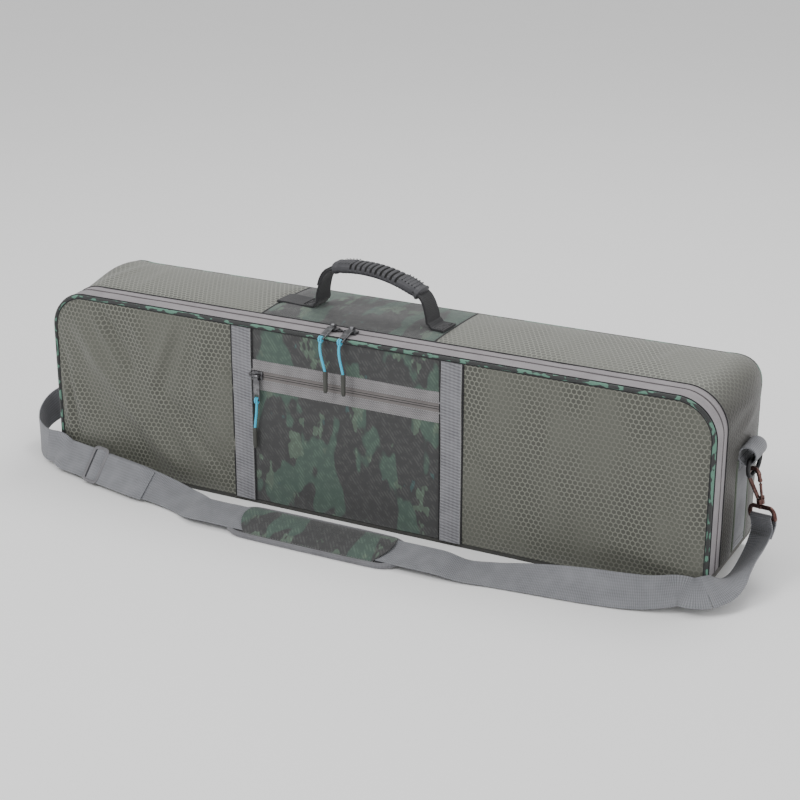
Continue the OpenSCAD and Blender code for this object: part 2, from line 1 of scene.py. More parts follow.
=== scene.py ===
"""Looks of the rod case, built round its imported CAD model. Lengths in the builders are millimetres."""
import bpy
import bmesh
import json
import math
import numpy as np
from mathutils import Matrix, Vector

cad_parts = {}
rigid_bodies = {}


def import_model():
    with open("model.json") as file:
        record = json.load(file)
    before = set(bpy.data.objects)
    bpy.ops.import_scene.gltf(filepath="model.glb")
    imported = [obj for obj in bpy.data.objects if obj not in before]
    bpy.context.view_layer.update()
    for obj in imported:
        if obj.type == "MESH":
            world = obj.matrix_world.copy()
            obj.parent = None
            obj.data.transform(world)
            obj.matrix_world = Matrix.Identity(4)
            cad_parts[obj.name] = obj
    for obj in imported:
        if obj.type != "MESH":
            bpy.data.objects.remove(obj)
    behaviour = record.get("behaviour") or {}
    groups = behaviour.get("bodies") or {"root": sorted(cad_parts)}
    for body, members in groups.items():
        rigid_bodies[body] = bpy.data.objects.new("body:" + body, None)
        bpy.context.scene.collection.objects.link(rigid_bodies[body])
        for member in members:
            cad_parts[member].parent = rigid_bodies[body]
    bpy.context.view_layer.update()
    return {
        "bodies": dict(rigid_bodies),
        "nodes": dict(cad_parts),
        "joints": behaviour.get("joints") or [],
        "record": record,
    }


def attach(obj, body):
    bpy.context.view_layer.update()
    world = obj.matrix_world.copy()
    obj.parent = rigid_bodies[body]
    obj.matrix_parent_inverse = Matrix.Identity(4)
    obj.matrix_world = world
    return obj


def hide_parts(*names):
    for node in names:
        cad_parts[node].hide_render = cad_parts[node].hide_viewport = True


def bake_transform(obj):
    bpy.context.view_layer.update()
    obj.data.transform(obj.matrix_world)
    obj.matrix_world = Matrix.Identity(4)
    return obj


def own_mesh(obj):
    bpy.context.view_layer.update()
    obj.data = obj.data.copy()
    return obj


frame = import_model()

MM = 0.001
END, TOP, TOP_R, FOOT_R = 412.0, 220.0, 45.0, 22.0
FACE, PIPE = 76.0, 2.2
RIGHT_Z, TOP_X, LEFT_Z = 402.56, 1015.25, 1627.94   # outline length at z = 0 right, x = 0 top, z = 0 left
PRINT_LO, PRINT_HI = -134.0, 105.0
TOP_PRINT_LO, TOP_PRINT_HI = -142.0, 78.0
ROUND = 2 * TOP_X                     # length of the whole outline
CORNER = 404.3                        # where the front corner leaves the base, as outline length
SKIN_BACK = 73.9                      # distance of the face cloth's inner side from the middle
STRAP_W, BAND_W = 38.0, 25.0          # webbing widths
TAB_Y = 18.0                          # middle of the end tabs, rings and hooks
WAVES = 9                             # sine waves in one patch of ripples


# ---------------------------------------------------------------- camera, floor, light
def vec(*p):
    return np.array(p, float)


def make_camera():
    azimuth, elevation, distance = math.radians(27.35), math.radians(20.73), 2.027
    target = Vector((0.0149, 0.0015, 0.1279))
    offset = Vector((math.sin(azimuth) * math.cos(elevation),
                     -math.cos(azimuth) * math.cos(elevation), math.sin(elevation)))
    data = bpy.data.cameras.new("camera")
    data.lens = 79.8
    data.sensor_width = 36
    cam = bpy.data.objects.new("camera", data)
    bpy.context.scene.collection.objects.link(cam)
    cam.location = target + offset * distance
    cam.rotation_euler = (-offset).to_track_quat("-Z", "Y").to_euler()
    bpy.context.scene.camera = cam


def area_light(name, place, target, size, power):
    data = bpy.data.lights.new(name, "AREA")
    data.shape = "DISK"
    data.size = size
    data.energy = power
    lamp = bpy.data.objects.new(name, data)
    bpy.context.scene.collection.objects.link(lamp)
    lamp.location = place
    lamp.rotation_euler = (Vector(target) - Vector(place)).to_track_quat("-Z", "Y").to_euler()


def make_studio():
    world = bpy.data.worlds.new("studio")
    bpy.context.scene.world = world
    world.use_nodes = True
    back = world.node_tree.nodes["Background"]
    back.inputs["Color"].default_value = (1, 1, 1, 1)
    back.inputs["Strength"].default_value = 0.80
    area_light("key", (-0.9, -1.7, 2.1), (0, 0, 0.1), 1.1, 30)
    area_light("fill", (2.2, -1.3, 1.3), (0, 0, 0.1), 1.4, 11)
    area_light("top", (0.3, 0.9, 2.3), (0, 0, 0.1), 1.2, 20)
    mesh = bpy.data.meshes.new("floor")
    mesh.from_pydata([(-6, -6, 0), (6, -6, 0), (6, 6, 0), (-6, 6, 0)], [], [(0, 1, 2, 3)])
    floor = bpy.data.objects.new("floor", mesh)
    bpy.context.scene.collection.objects.link(floor)
    m = Mat("floor_paper", rough=0.85)
    m.color(m.mix(m.noise(m.obj(), 0.004, 3), (0.93, 0.93, 0.93), (0.95, 0.95, 0.95)))
    floor.data.materials.append(m.material)


# ---------------------------------------------------------------- materials
class Mat:
    """A short way to write a procedural material. Coordinates are in millimetres."""

    def __init__(self, name, rough=0.8, metallic=0.0, specular=0.5, sheen=0.0):
        self.material = bpy.data.materials.new(name)
        self.material.use_nodes = True
        self.tree = self.material.node_tree
        self.bsdf = self.tree.nodes["Principled BSDF"]
        self.put("Roughness", rough)
        self.put("Metallic", metallic)
        self.put("Specular IOR Level", specular)
        if sheen:
            self.put("Sheen Weight", sheen)
            self.put("Sheen Roughness", 0.5)

    def put(self, socket, value):
        if isinstance(value, bpy.types.NodeSocket):
            self.tree.links.new(value, self.bsdf.inputs[socket])
        else:
            self.bsdf.inputs[socket].default_value = value

    def fill(self, socket, value):
        if isinstance(value, bpy.types.NodeSocket):
            self.tree.links.new(value, socket)
        elif isinstance(value, (tuple, list)):
            full = tuple(value) + (1.0,) * (len(socket.default_value) - len(value))
            socket.default_value = full
        else:
            try:
                socket.default_value = value
            except TypeError:
                socket.default_value = (value,) * len(socket.default_value)

    def node(self, kind, *inputs, **props):
        n = self.tree.nodes.new(kind)
        for key, value in props.items():
            setattr(n, key, value)
        for socket, value in zip(n.inputs, inputs):
            if value is not None:
                self.fill(socket, value)
        return n

    def math(self, op, a, b=None, c=None):
        return self.node("ShaderNodeMath", a, b, c, operation=op).outputs[0]

    def vmath(self, op, a, b=None, c=None):
        n = self.node("ShaderNodeVectorMath", a, b, c, operation=op)
        return n.outputs["Value"] if op in ("DOT_PRODUCT", "LENGTH", "DISTANCE") else n.outputs["Vector"]

    def laid(self):
        """Position on the cloth: along, across."""
        return self.node("ShaderNodeAttribute", attribute_name="laid").outputs["Vector"]

    def obj(self):
        coords = self.tree.nodes.new("ShaderNodeTexCoord").outputs["Object"]
        return self.vmath("MULTIPLY", coords, (1000.0, 1000.0, 1000.0))

    def axis(self, v, i):
        return self.node("ShaderNodeSeparateXYZ", v).outputs[i]

    def scaled(self, v, factors):
        return self.vmath("MULTIPLY", v, factors)

    def noise(self, v, scale, detail=2.0, rough=0.5):
        n = self.node("ShaderNodeTexNoise")
        self.tree.links.new(v, n.inputs["Vector"])
        n.inputs["Scale"].default_value = scale
        n.inputs["Detail"].default_value = detail
        n.inputs["Roughness"].default_value = rough
        return n.outputs["Fac"]

    def ramp(self, value, lo, hi):
        n = self.node("ShaderNodeMapRange", value, float(lo), float(hi), 0.0, 1.0)
        return n.outputs[0]

    def mix(self, factor, a, b):
        n = self.node("ShaderNodeMix", data_type="RGBA")
        self.fill(n.inputs[0], factor)
        self.fill(n.inputs[6], a)
        self.fill(n.inputs[7], b)
        return n.outputs[2]

    def color(self, value):
        if isinstance(value, tuple):
            value = value + (1.0,)
        self.put("Base Color", value)

    def bump(self, height, distance):
        n = self.node("ShaderNodeBump")
        n.inputs["Strength"].default_value = 1.0
        n.inputs["Distance"].default_value = distance * MM
        self.tree.links.new(height, n.inputs["Height"])
        self.tree.links.new(n.outputs[0], self.bsdf.inputs["Normal"])

    def wave(self, t, pitch):
        """0 to 1 and back, once for each pitch of t."""
        turns = self.math("MULTIPLY_ADD", t, 2 * math.pi / pitch, 0.0)
        return self.math("MULTIPLY_ADD", self.math("SINE", turns), 0.5, 0.5)

    def honeycomb(self, v, pitch):
        """Distance from a cell's middle to its edge, 0 to 1."""
        p = self.scaled(v, (1 / pitch, 1 / pitch, 0.0))
        cell = (1.0, math.sqrt(3), 1.0)
        half = (0.5, math.sqrt(3) / 2, 0.0)
        first = self.vmath("SUBTRACT", self.vmath("WRAP", p, cell, (0.0, 0.0, 0.0)), half)
        moved = self.vmath("SUBTRACT", p, half)
        second = self.vmath("SUBTRACT", self.vmath("WRAP", moved, cell, (0.0, 0.0, 0.0)), half)
        near = self.math("LESS_THAN", self.vmath("LENGTH", first), self.vmath("LENGTH", second))
        n = self.node("ShaderNodeMix", data_type="VECTOR")
        self.fill(n.inputs[0], near)
        self.tree.links.new(second, n.inputs[4])
        self.tree.links.new(first, n.inputs[5])
        local = self.vmath("ABSOLUTE", n.outputs[1])
        slant = self.vmath("DOT_PRODUCT", local, (0.5, math.sqrt(3) / 2, 0.0))
        return self.math("MULTIPLY", self.math("MAXIMUM", self.axis(local, 0), slant), 2.0)


def ripstop(name, dark, light, end=None):
    """Ripstop cloth: dark cells in a thin light net, seen more in some places than in others; where it fades, net and
    cells sink to one middle tone, painted sheen.
    """
    m = Mat(name, rough=0.5, specular=0.42, sheen=0.12)
    v = m.laid()
    cell = m.honeycomb(v, 5.8)
    net = m.ramp(cell, 0.84, 0.95)
    core = m.ramp(cell, 0.86, 0.62)
    # painted sheen: large patches where the net and the cells fade to the middle tone
    contrast_outside_sheen = m.ramp(m.noise(m.scaled(v, (1.0, 0.5, 1.0)), 0.016, 3), 0.40, 0.62)
    fine = m.noise(v, 0.9, 2)
    threads = m.math("MULTIPLY", m.wave(m.axis(v, 0), 0.7), m.wave(m.axis(v, 1), 0.7))
    middle = m.mix(0.38, dark, light)
    line = m.math("MULTIPLY", net, m.math("MULTIPLY_ADD", contrast_outside_sheen, 0.55, m.math("MULTIPLY", fine, 0.5)))
    spot = m.math("MULTIPLY", core, m.math("MULTIPLY_ADD", contrast_outside_sheen, 0.45, 0.25))
    tone = m.mix(spot, m.mix(line, middle, light), dark)
    if end:
        along = m.axis(v, 0)
        corner = m.math("MINIMUM", along, m.math("SUBTRACT", ROUND, along))
        slant = m.wave(m.vmath("DOT_PRODUCT", v, (0.7, 0.7, 0.0)), 3.2)
        plain = m.mix(m.math("MULTIPLY_ADD", slant, 0.6, m.math("MULTIPLY", fine, 0.5)), end[0], end[1])
        tone = m.mix(m.ramp(corner, 592, 636), plain, tone)
    m.color(tone)
    m.bump(m.math("MULTIPLY_ADD", threads, 0.25, m.math("MAXIMUM", net, m.ramp(cell, 0.5, 0.8))), 0.2)
    return m.material


def camo(name):
    m = Mat(name, rough=0.72, specular=0.3, sheen=0.25)
    v = m.laid()
    big = m.noise(m.scaled(v, (1.0, 0.42, 1.0)), 0.024, 2.5, 0.5)
    second = m.noise(m.scaled(m.vmath("ADD", v, (300.0, 90.0, 0.0)), (1.0, 0.5, 1.0)), 0.038, 3, 0.6)
    third = m.noise(m.scaled(m.vmath("ADD", v, (-220.0, 500.0, 0.0)), (1.2, 0.5, 1.0)), 0.07, 3, 0.6)
    diagonal = m.vmath("DOT_PRODUCT", v, (0.8, 0.6, 0.0))
    hatch = m.math("MULTIPLY", m.wave(diagonal, 3.4), m.ramp(m.noise(v, 0.12, 2), 0.45, 0.6))
    grey = m.mix(hatch, (0.042, 0.042, 0.043), (0.07, 0.072, 0.07))
    green = m.mix(hatch, (0.055, 0.084, 0.07), (0.085, 0.13, 0.10))
    pale = m.mix(hatch, (0.078, 0.105, 0.082), (0.115, 0.17, 0.125))
    teal = m.mix(hatch, (0.045, 0.075, 0.075), (0.065, 0.11, 0.105))
    out = m.mix(m.ramp(big, 0.52, 0.54), grey, green)
    out = m.mix(m.ramp(second, 0.60, 0.62), out, pale)
    out = m.mix(m.ramp(third, 0.67, 0.69), out, teal)
    m.color(out)
    weave = m.math("MULTIPLY", m.wave(m.axis(v, 0), 0.9), m.wave(m.axis(v, 1), 0.9))
    m.bump(weave, 0.12)
    return m.material


def woven(name, dark, light, pitch, slant, across, depth, edge=None):
    """Webbing: ribs across its length, wefts along it."""
    m = Mat(name, rough=0.8, specular=0.3, sheen=0.2)
    v = m.laid()
    along, side = m.axis(v, 0), m.axis(v, 1)
    skew = m.math("MULTIPLY_ADD", side, slant, along)
    rib = m.wave(skew, pitch)
    row = m.wave(side, across)
    worn = m.noise(v, 0.05, 4)
    fuzz = m.noise(v, 1.2, 2)
    height = m.math("MULTIPLY_ADD", row, 0.35, rib)
    tone = m.math("MULTIPLY", m.math("MULTIPLY_ADD", height, 0.55, 0.1), m.math("MULTIPLY_ADD", fuzz, 0.8, 0.6))
    base = m.mix(tone, dark, light)
    base = m.mix(m.ramp(worn, 0.35, 0.75), base, m.mix(0.5, base, light))
    if edge:
        half, colour = edge
        base = m.mix(m.ramp(m.math("ABSOLUTE", side), half - 1.2, half - 0.4), base, colour)
    m.color(base)
    m.bump(height, depth)
    return m.material


def plain_cloth(name, dark, light, pitch=0.8, laid=True):
    m = Mat(name, rough=0.85, specular=0.25, sheen=0.2)
    v = m.laid() if laid else m.obj()
    threads = m.math("MULTIPLY", m.wave(m.axis(v, 0), pitch), m.wave(m.axis(v, 1), pitch))
    if not laid:
        threads = m.math("MULTIPLY", threads, m.wave(m.axis(v, 2), pitch))
    m.color(m.mix(m.math("MULTIPLY_ADD", m.noise(v, 0.06, 4), 0.7, m.math("MULTIPLY", threads, 0.3)), dark, light))
    m.bump(threads, 0.1)
    return m.material


def piping_cloth(name):
    m = Mat(name, rough=0.6, specular=0.35, sheen=0.15)
    v = m.laid()
    patch = m.ramp(m.noise(m.scaled(v, (1.0, 2.2, 1.0)), 0.075, 1.5, 0.5), 0.53, 0.56)
    soft = m.noise(v, 0.7, 3)
    dark = m.mix(soft, (0.016, 0.017, 0.017), (0.04, 0.042, 0.042))
    mint = m.mix(soft, (0.06, 0.15, 0.11), (0.13, 0.27, 0.20))
    m.color(m.mix(patch, dark, mint))
    m.bump(m.math("ADD", m.wave(m.axis(v, 0), 1.4), m.wave(m.axis(v, 1), 1.4)), 0.08)
    return m.material


def metal(name, colour, worn, rough=0.35):
    m = Mat(name, metallic=1.0, rough=rough)
    v = m.obj()
    marks = m.noise(v, 0.25, 5, 0.65)
    m.color(m.mix(m.ramp(marks, 0.42, 0.7), colour, worn))
    m.put("Roughness", m.math("MULTIPLY_ADD", m.noise(v, 0.6, 3), 0.3, rough - 0.12))
    m.bump(m.noise(v, 1.4, 3), 0.03)
    return m.material


def moulded(name, dark, light, rough):
    m = Mat(name, rough=rough, specular=0.45)
    v = m.obj()
    m.color(m.mix(m.noise(v, 0.08, 4), dark, light))
    m.put("Roughness", m.math("MULTIPLY_ADD", m.noise(v, 0.4, 3), 0.25, rough - 0.12))
    m.bump(m.noise(v, 1.1, 3), 0.06)
    return m.material


def coil_plastic(name, dark, light):
    m = Mat(name, rough=0.5, specular=0.4)
    v = m.laid()
    tooth = m.wave(m.axis(v, 0), 1.3)
    m.color(m.mix(tooth, dark, light))
    m.bump(tooth, 0.3)
    return m.material


def foam_board(name):
    m = Mat(name, rough=0.9, specular=0.2)
    v = m.obj()
    cells = m.node("ShaderNodeTexVoronoi")
    m.tree.links.new(v, cells.inputs["Vector"])
    cells.inputs["Scale"].default_value = 0.9
    m.color(m.mix(cells.outputs["Distance"], (0.02, 0.02, 0.022), (0.05, 0.05, 0.053)))
    m.bump(cells.outputs["Distance"], 0.15)
    return m.material


def braid(name):
    m = Mat(name, rough=0.55, specular=0.4, sheen=0.3)
    v = m.laid()
    one = m.wave(m.vmath("DOT_PRODUCT", v, (1.0, 0.62, 0.0)), 1.3)
    two = m.wave(m.vmath("DOT_PRODUCT", v, (1.0, -0.62, 0.0)), 1.3)
    strand = m.math("MAXIMUM", one, two)
    m.color(m.mix(strand, (0.0, 0.22, 0.40), (0.03, 0.60, 0.86)))
    m.bump(strand, 0.2)
    return m.material


M = {
    "ripstop": ripstop("ripstop_cloth", (0.036, 0.037, 0.030), (0.235, 0.24, 0.20)),
    "ripstop_top": ripstop("ripstop_cloth_top", (0.07, 0.072, 0.062), (0.33, 0.335, 0.29),
                           ((0.013, 0.0118, 0.0092), (0.042, 0.039, 0.032))),
    "end_cloth": plain_cloth("end_cloth", (0.035, 0.031, 0.024), (0.07, 0.064, 0.05)),
    "camo": camo("camo_print"),
    "base": plain_cloth("base_cloth", (0.03, 0.03, 0.028), (0.06, 0.06, 0.055), 1.6, laid=False),
    "lining": plain_cloth("lining_cloth", (0.012, 0.012, 0.014), (0.03, 0.03, 0.034), 1.0),
    "lining_box": plain_cloth("lining_cloth_box", (0.012, 0.012, 0.014), (0.03, 0.03, 0.034), 1.0, laid=False),
    "foam": foam_board("foam_board"),
    "piping": piping_cloth("piping_cloth"),
    "black_edge": plain_cloth("edge_cloth", (0.008, 0.008, 0.009), (0.022, 0.022, 0.024), 0.9),
    "tape": woven("zip_tape", (0.14, 0.125, 0.135), (0.34, 0.315, 0.33), 1.6, 1.0, 1.6, depth=0.16),
    "coil": coil_plastic("zip_coil", (0.05, 0.045, 0.047), (0.16, 0.145, 0.15)),
    "pocket_tape": woven("pocket_tape", (0.07, 0.066, 0.07), (0.31, 0.30, 0.305), 3.0, 1.0, 3.0, depth=0.3),
    "pocket_coil": woven("pocket_coil", (0.085, 0.075, 0.075), (0.20, 0.185, 0.18), 1.4, 0.0, 6.0, depth=0.2),
    "band": woven("band_webbing", (0.085, 0.085, 0.095), (0.28, 0.28, 0.30), 3.6, 0.16, 5.0,
                  depth=0.6, edge=(12.5, (0.30, 0.30, 0.31))),
    "strap": woven("strap_webbing", (0.095, 0.098, 0.107), (0.27, 0.275, 0.295), 1.8, 0.0, 3.2, depth=0.3),
    "black_web": woven("handle_webbing", (0.006, 0.006, 0.007), (0.03, 0.03, 0.033), 1.8, 0.0, 2.6, depth=0.25),
    "grip": moulded("grip_rubber", (0.038, 0.038, 0.043), (0.06, 0.06, 0.067), 0.5),
    # painted shade: the grooves of the grip rubber made near black
    "notch": moulded("grip_notch_painted_shade", (0.004, 0.004, 0.004), (0.01, 0.01, 0.01), 0.7),
    "gunmetal": metal("gunmetal", (0.085, 0.083, 0.087), (0.20, 0.20, 0.21), 0.38),
    "pull": metal("pull_metal", (0.12, 0.12, 0.125), (0.26, 0.26, 0.27), 0.36),
    "bronze": metal("bronze", (0.11, 0.055, 0.05), (0.26, 0.16, 0.14), 0.34),
    "cord": braid("cord_braid"),
    "tip": moulded("tip_rubber", (0.034, 0.035, 0.03), (0.07, 0.072, 0.064), 0.6),
    "ring": moulded("ring_plastic", (0.006, 0.006, 0.007), (0.014, 0.014, 0.016), 0.42),
    "adjuster": moulded("adjuster_plastic", (0.13, 0.128, 0.138), (0.20, 0.197, 0.208), 0.45),
    "binding": woven("pad_binding", (0.08, 0.08, 0.087), (0.22, 0.22, 0.235), 1.5, 0.0, 2.0, depth=0.2),
    "thread": plain_cloth("thread", (0.10, 0.10, 0.10), (0.20, 0.20, 0.20), 0.5),
}


# ---------------------------------------------------------------- mesh builders
def build(name, points, faces, mat, body=None, slot=None, nodes=(), laid=None, sharp=40.0, split=None):
    """A piece from points in millimetres. laid holds each point's place on the cloth.

    split(face centre) picks a material.
    """
    mesh = bpy.data.meshes.new(name)
    mesh.from_pydata((np.asarray(points, float) * MM).tolist(), [], [list(map(int, f)) for f in faces])
    mesh.validate()
    mats = mat if isinstance(mat, (list, tuple)) else [mat]
    for key in mats:
        mesh.materials.append(M[key])
    if laid is not None:
        data = np.zeros((len(points), 3), np.float32)
        data[:, :2] = np.asarray(laid, float)[:, :2]
        attribute = mesh.attributes.new("laid", "FLOAT_VECTOR", "POINT")
        attribute.data.foreach_set("vector", data.ravel())
    bm = bmesh.new()
    bm.from_mesh(mesh)
    bmesh.ops.recalc_face_normals(bm, faces=bm.faces)
    limit = math.radians(sharp)
    for face in bm.faces:
        face.smooth = True
        if split:
            face.material_index = split(face.calc_center_median() / MM)
    for edge in bm.edges:
        edge.smooth = len(edge.link_faces) != 2 or edge.calc_face_angle(0) < limit
    bm.to_mesh(mesh)
    bm.free()
    piece = bpy.data.objects.new(name, mesh)
    bpy.context.scene.collection.objects.link(piece)
    if body:
        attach(piece, body)
    if nodes:
        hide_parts(*nodes)
    return piece


def shell(name, outer, inner, laid, mat, **more):
    """A closed sheet between two grids of the same shape."""
    rows, cols = outer.shape[:2]
    size = rows * cols
    index = np.arange(size).reshape(rows, cols)
    faces = []
    for i in range(rows - 1):
        for j in range(cols - 1):
            a, b, c, d = index[i, j], index[i, j + 1], index[i + 1, j + 1], index[i + 1, j]
            faces.append((a, b, c, d))
            faces.append((a + size, d + size, c + size, b + size))
    rim = list(index[0, :]) + list(index[1:, -1]) + list(index[-1, -2::-1]) + list(index[-2:0:-1, 0])
    for k in range(len(rim)):
        a, b = rim[k], rim[(k + 1) % len(rim)]
        faces.append((a, a + size, b + size, b))
    points = np.concatenate([outer.reshape(-1, 3), inner.reshape(-1, 3)])
    both = np.concatenate([laid.reshape(-1, 2), laid.reshape(-1, 2)])
    return build(name, points, faces, mat, laid=both, **more)


def unit(v):
    v = np.asarray(v, float)
    return v / np.maximum(np.linalg.norm(v, axis=-1, keepdims=True), 1e-9)


def tangents(path, closed=False):
    if closed:
        return unit(np.roll(path, -1, 0) - np.roll(path, 1, 0))
    return unit(np.gradient(path, axis=0))


def lengths(path):
    return np.concatenate([[0], np.cumsum(np.linalg.norm(np.diff(path, axis=0), axis=1))])


def sweep(name, path, wide, section, mat, closed=False, scale=None, **more):
    """A section carried along a path. wide is the direction of the section's first axis."""
    path = np.asarray(path, float)
    section = np.asarray(section, float)
    t = tangents(path, closed)
    w = np.broadcast_to(np.asarray(wide, float), path.shape)
    w = unit(w - (w * t).sum(1, keepdims=True) * t)
    u = unit(np.cross(t, w))
    n, k = len(path), len(section)
    grow = np.ones((n, 2)) if scale is None else np.asarray(scale, float).reshape(n, -1) * np.ones((1, 2))
    points = path[:, None, :] + section[None, :, :1] * grow[:, None, :1] * w[:, None, :] \
        + section[None, :, 1:] * grow[:, None, 1:] * u[:, None, :]
    run = lengths(path)
    round_way = lengths(np.vstack([section, section[:1]]))[:k]
    side = section[:, 0] if more.pop("flat", False) else round_way
    laid = np.stack([np.repeat(run, k), np.tile(side, n)], 1)
    faces = []
    for i in range(n if closed else n - 1):
        for j in range(k):
            a, b = i * k + j, i * k + (j + 1) % k
            c, d = ((i + 1) % n) * k + (j + 1) % k, ((i + 1) % n) * k + j
            faces.append((a, b, c, d))
    if not closed:
        faces.append(tuple(range(k)))
        faces.append(tuple((n - 1) * k + j for j in range(k)))
    return build(name, points.reshape(-1, 3), faces, mat, laid=laid, **more)


def circle(r, sides=12, squeeze=1.0):
    angles = np.arange(sides) * 2 * math.pi / sides
    return np.stack([r * np.cos(angles), r * squeeze * np.sin(angles)], 1)


def flat_section(width, thick, steps=10, edge=0.5):
    """A webbing's section: nearly flat, with rounded edges."""
    x = np.linspace(-width / 2 + edge, width / 2 - edge, steps)
    top = [(a, thick / 2) for a in x]
    low = [(a, -thick / 2) for a in x[::-1]]
    return np.array(top + [(width / 2, 0.0)] + low + [(-width / 2, 0.0)])


def smooth_rows(rows, step=4.0):
    """Rows of (point, width direction) resampled on a smooth curve."""
    points = [np.array(p, float) for p, _ in rows]
    dirs = [unit(np.array(d, float)) for _, d in rows]
    filled_p, filled_d = [points[0]], [dirs[0]]
    for i in range(len(points) - 1):
        span = np.linalg.norm(points[i + 1] - points[i])
        marks = [1.0]
        if span > 45:
            marks = [12 / span] + list(np.linspace(40 / span, 1 - 40 / span, max(2, int(span / 40)))) \
                + [1 - 12 / span, 1.0]
            marks = sorted(m for m in marks if m > 0)
        for m in marks:
            filled_p.append(points[i] * (1 - m) + points[i + 1] * m)
            filled_d.append(unit(dirs[i] * (1 - m) + dirs[i + 1] * m))
    p, d = np.array(filled_p), np.array(filled_d)
    s = lengths(p)
    out = np.arange(0, s[-1] + step / 2, step)
    out[-1] = s[-1]
    return hermite(s, p, out), unit(hermite(s, d, out))


def hermite(s, values, at):
    slope = np.diff(values, axis=0) / np.diff(s)[:, None]
    m = np.zeros_like(values)
    m[0], m[-1] = slope[0], slope[-1]
    before, after = np.diff(s)[:-1, None], np.diff(s)[1:, None]
    m[1:-1] = (slope[:-1] * after + slope[1:] * before) / (before + after)
    k = np.clip(np.searchsorted(s, at, side="right") - 1, 0, len(s) - 2)
    h = (s[k + 1] - s[k])[:, None]
    t = ((at - s[k]) / (s[k + 1] - s[k]))[:, None]
    return (2 * t**3 - 3 * t**2 + 1) * values[k] + (t**3 - 2 * t**2 + t) * h * m[k] \
        + (-2 * t**3 + 3 * t**2) * values[k + 1] + (t**3 - t**2) * h * m[k + 1]


def rounded_copy(node, mat, body, width=0.35, segments=2):
    """The CAD part with its edges rounded, standing for it."""
    source = frame["nodes"][node]
    mesh = source.data.copy()
    mesh.materials.clear()
    mesh.materials.append(M[mat])
    for polygon in mesh.polygons:
        polygon.material_index = 0
    bm = bmesh.new()
    bm.from_mesh(mesh)
    bmesh.ops.remove_doubles(bm, verts=bm.verts, dist=2e-6)
    bmesh.ops.dissolve_limit(bm, angle_limit=math.radians(1.5), verts=bm.verts, edges=bm.edges)
    hard = [e for e in bm.edges if len(e.link_faces) == 2 and e.calc_face_angle(0) > math.radians(35)]
    bmesh.ops.bevel(bm, geom=hard, offset=width * MM, segments=segments, profile=0.5,
                    affect="EDGES", clamp_overlap=True)
    bmesh.ops.triangulate(bm, faces=[f for f in bm.faces if len(f.verts) > 4])
    for face in bm.faces:
        face.smooth = True
    for edge in bm.edges:
        edge.smooth = len(edge.link_faces) != 2 or edge.calc_face_angle(0) < math.radians(38)
    bm.to_mesh(mesh)
    bm.free()
    piece = bpy.data.objects.new(node + "_shape", mesh)
    bpy.context.scene.collection.objects.link(piece)
    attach(piece, body)
    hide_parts(node)
    return piece


def body_with(node):
    bodies = frame["record"]["behaviour"]["bodies"]
    return next(name for name, nodes in bodies.items() if node in nodes)


def paint(mat, *nodes):
    for node in nodes:
        source = frame["nodes"][node]
        if not source.material_slots:
            source.data.materials.append(M[mat])
        for material_slot in source.material_slots:
            material_slot.link = "OBJECT"
            material_slot.material = M[mat]


# ---------------------------------------------------------------- outline of the case
def outline(s):
    """Points (x, z) and outward directions at lengths s round the outline, from the middle of the base to the right."""
    s = np.asarray(s, float)
    foot, side, bend, top = FOOT_R * math.pi / 2, TOP - TOP_R - FOOT_R, TOP_R * math.pi / 2, 2 * (END - TOP_R)
    half = END - FOOT_R
    marks = np.cumsum([half, foot, side, bend, top, bend, side, foot])
    t = [s] + [s - m for m in marks]
    arcs = {1: (half, FOOT_R, FOOT_R, -90), 3: (END - TOP_R, TOP - TOP_R, TOP_R, 0),
            5: (TOP_R - END, TOP - TOP_R, TOP_R, 90), 7: (-half, FOOT_R, FOOT_R, 180)}
    lines = {0: (0, 0, 1, 0), 2: (END, FOOT_R, 0, 1), 4: (END - TOP_R, TOP, -1, 0),
             6: (-END, TOP - TOP_R, 0, -1), 8: (-half, 0, 1, 0)}
    part = np.searchsorted(marks, s, side="right")
    out = np.zeros(s.shape + (2,))
    normal = np.zeros(s.shape + (2,))
    for k in range(9):
        here = part == k
        if k in arcs:
            cx, cz, r, start = arcs[k]
            angle = math.radians(start) + t[k][here] / r
            way = np.stack([np.cos(angle), np.sin(angle)], -1)
            out[here] = np.array([cx, cz]) + r * way
            normal[here] = way
        else:
            x, z, dx, dz = lines[k]
            run = t[k][here][:, None]
            out[here] = np.array([x, z]) + run * np.array([dx, dz])
            normal[here] = np.array([dz, -dx])
    return out, normal


def smoothstep(x, lo, hi):
    t = np.clip((x - lo) / (hi - lo), 0, 1)
    return t * t * (3 - 2 * t)


def ripples(u, v, size, seed):
    """Soft irregular waves of about that size, between -1 and 1."""
    draw = np.random.default_rng(seed)
    total = np.zeros_like(u, dtype=float)
    for _ in range(WAVES):
        turn = draw.uniform(0, math.pi)
        k = 2 * math.pi / (size * draw.uniform(0.7, 2.2))
        total = total + np.sin(k * (u * math.cos(turn) + v * math.sin(turn)) + draw.uniform(0, 6.28))
    return total / WAVES * 1.6


def crease(u, v, start, end, width, height):
    """A ridge from start to end that fades out at both ends, with a shallow valley beside it."""
    (a, b), (c, d) = start, end
    run = math.hypot(c - a, d - b)
    du, dv = (c - a) / run, (d - b) / run
    t = ((u - a) * du + (v - b) * dv) / run
    off = (u - a) * dv - (v - b) * du
    fade = np.clip(np.sin(np.pi * np.clip(t, 0, 1)), 0, 1) ** 0.6
    ridge = np.exp(-(off / width) ** 2) - 0.55 * np.exp(-((off - 1.7 * width) / width) ** 2)
    return height * fade * ridge


def corner_out(s):
    """How far the back's top corners reach beyond the round of the front."""
    total = np.zeros_like(np.asarray(s, float))
    for start, far in ((577.56, 8.0), (1382.25, 9.5)):
        t = np.clip((s - start) / (TOP_R * math.pi / 2), 0, 1)
        total = total + far * np.sin(np.pi * t) ** 2
    return total


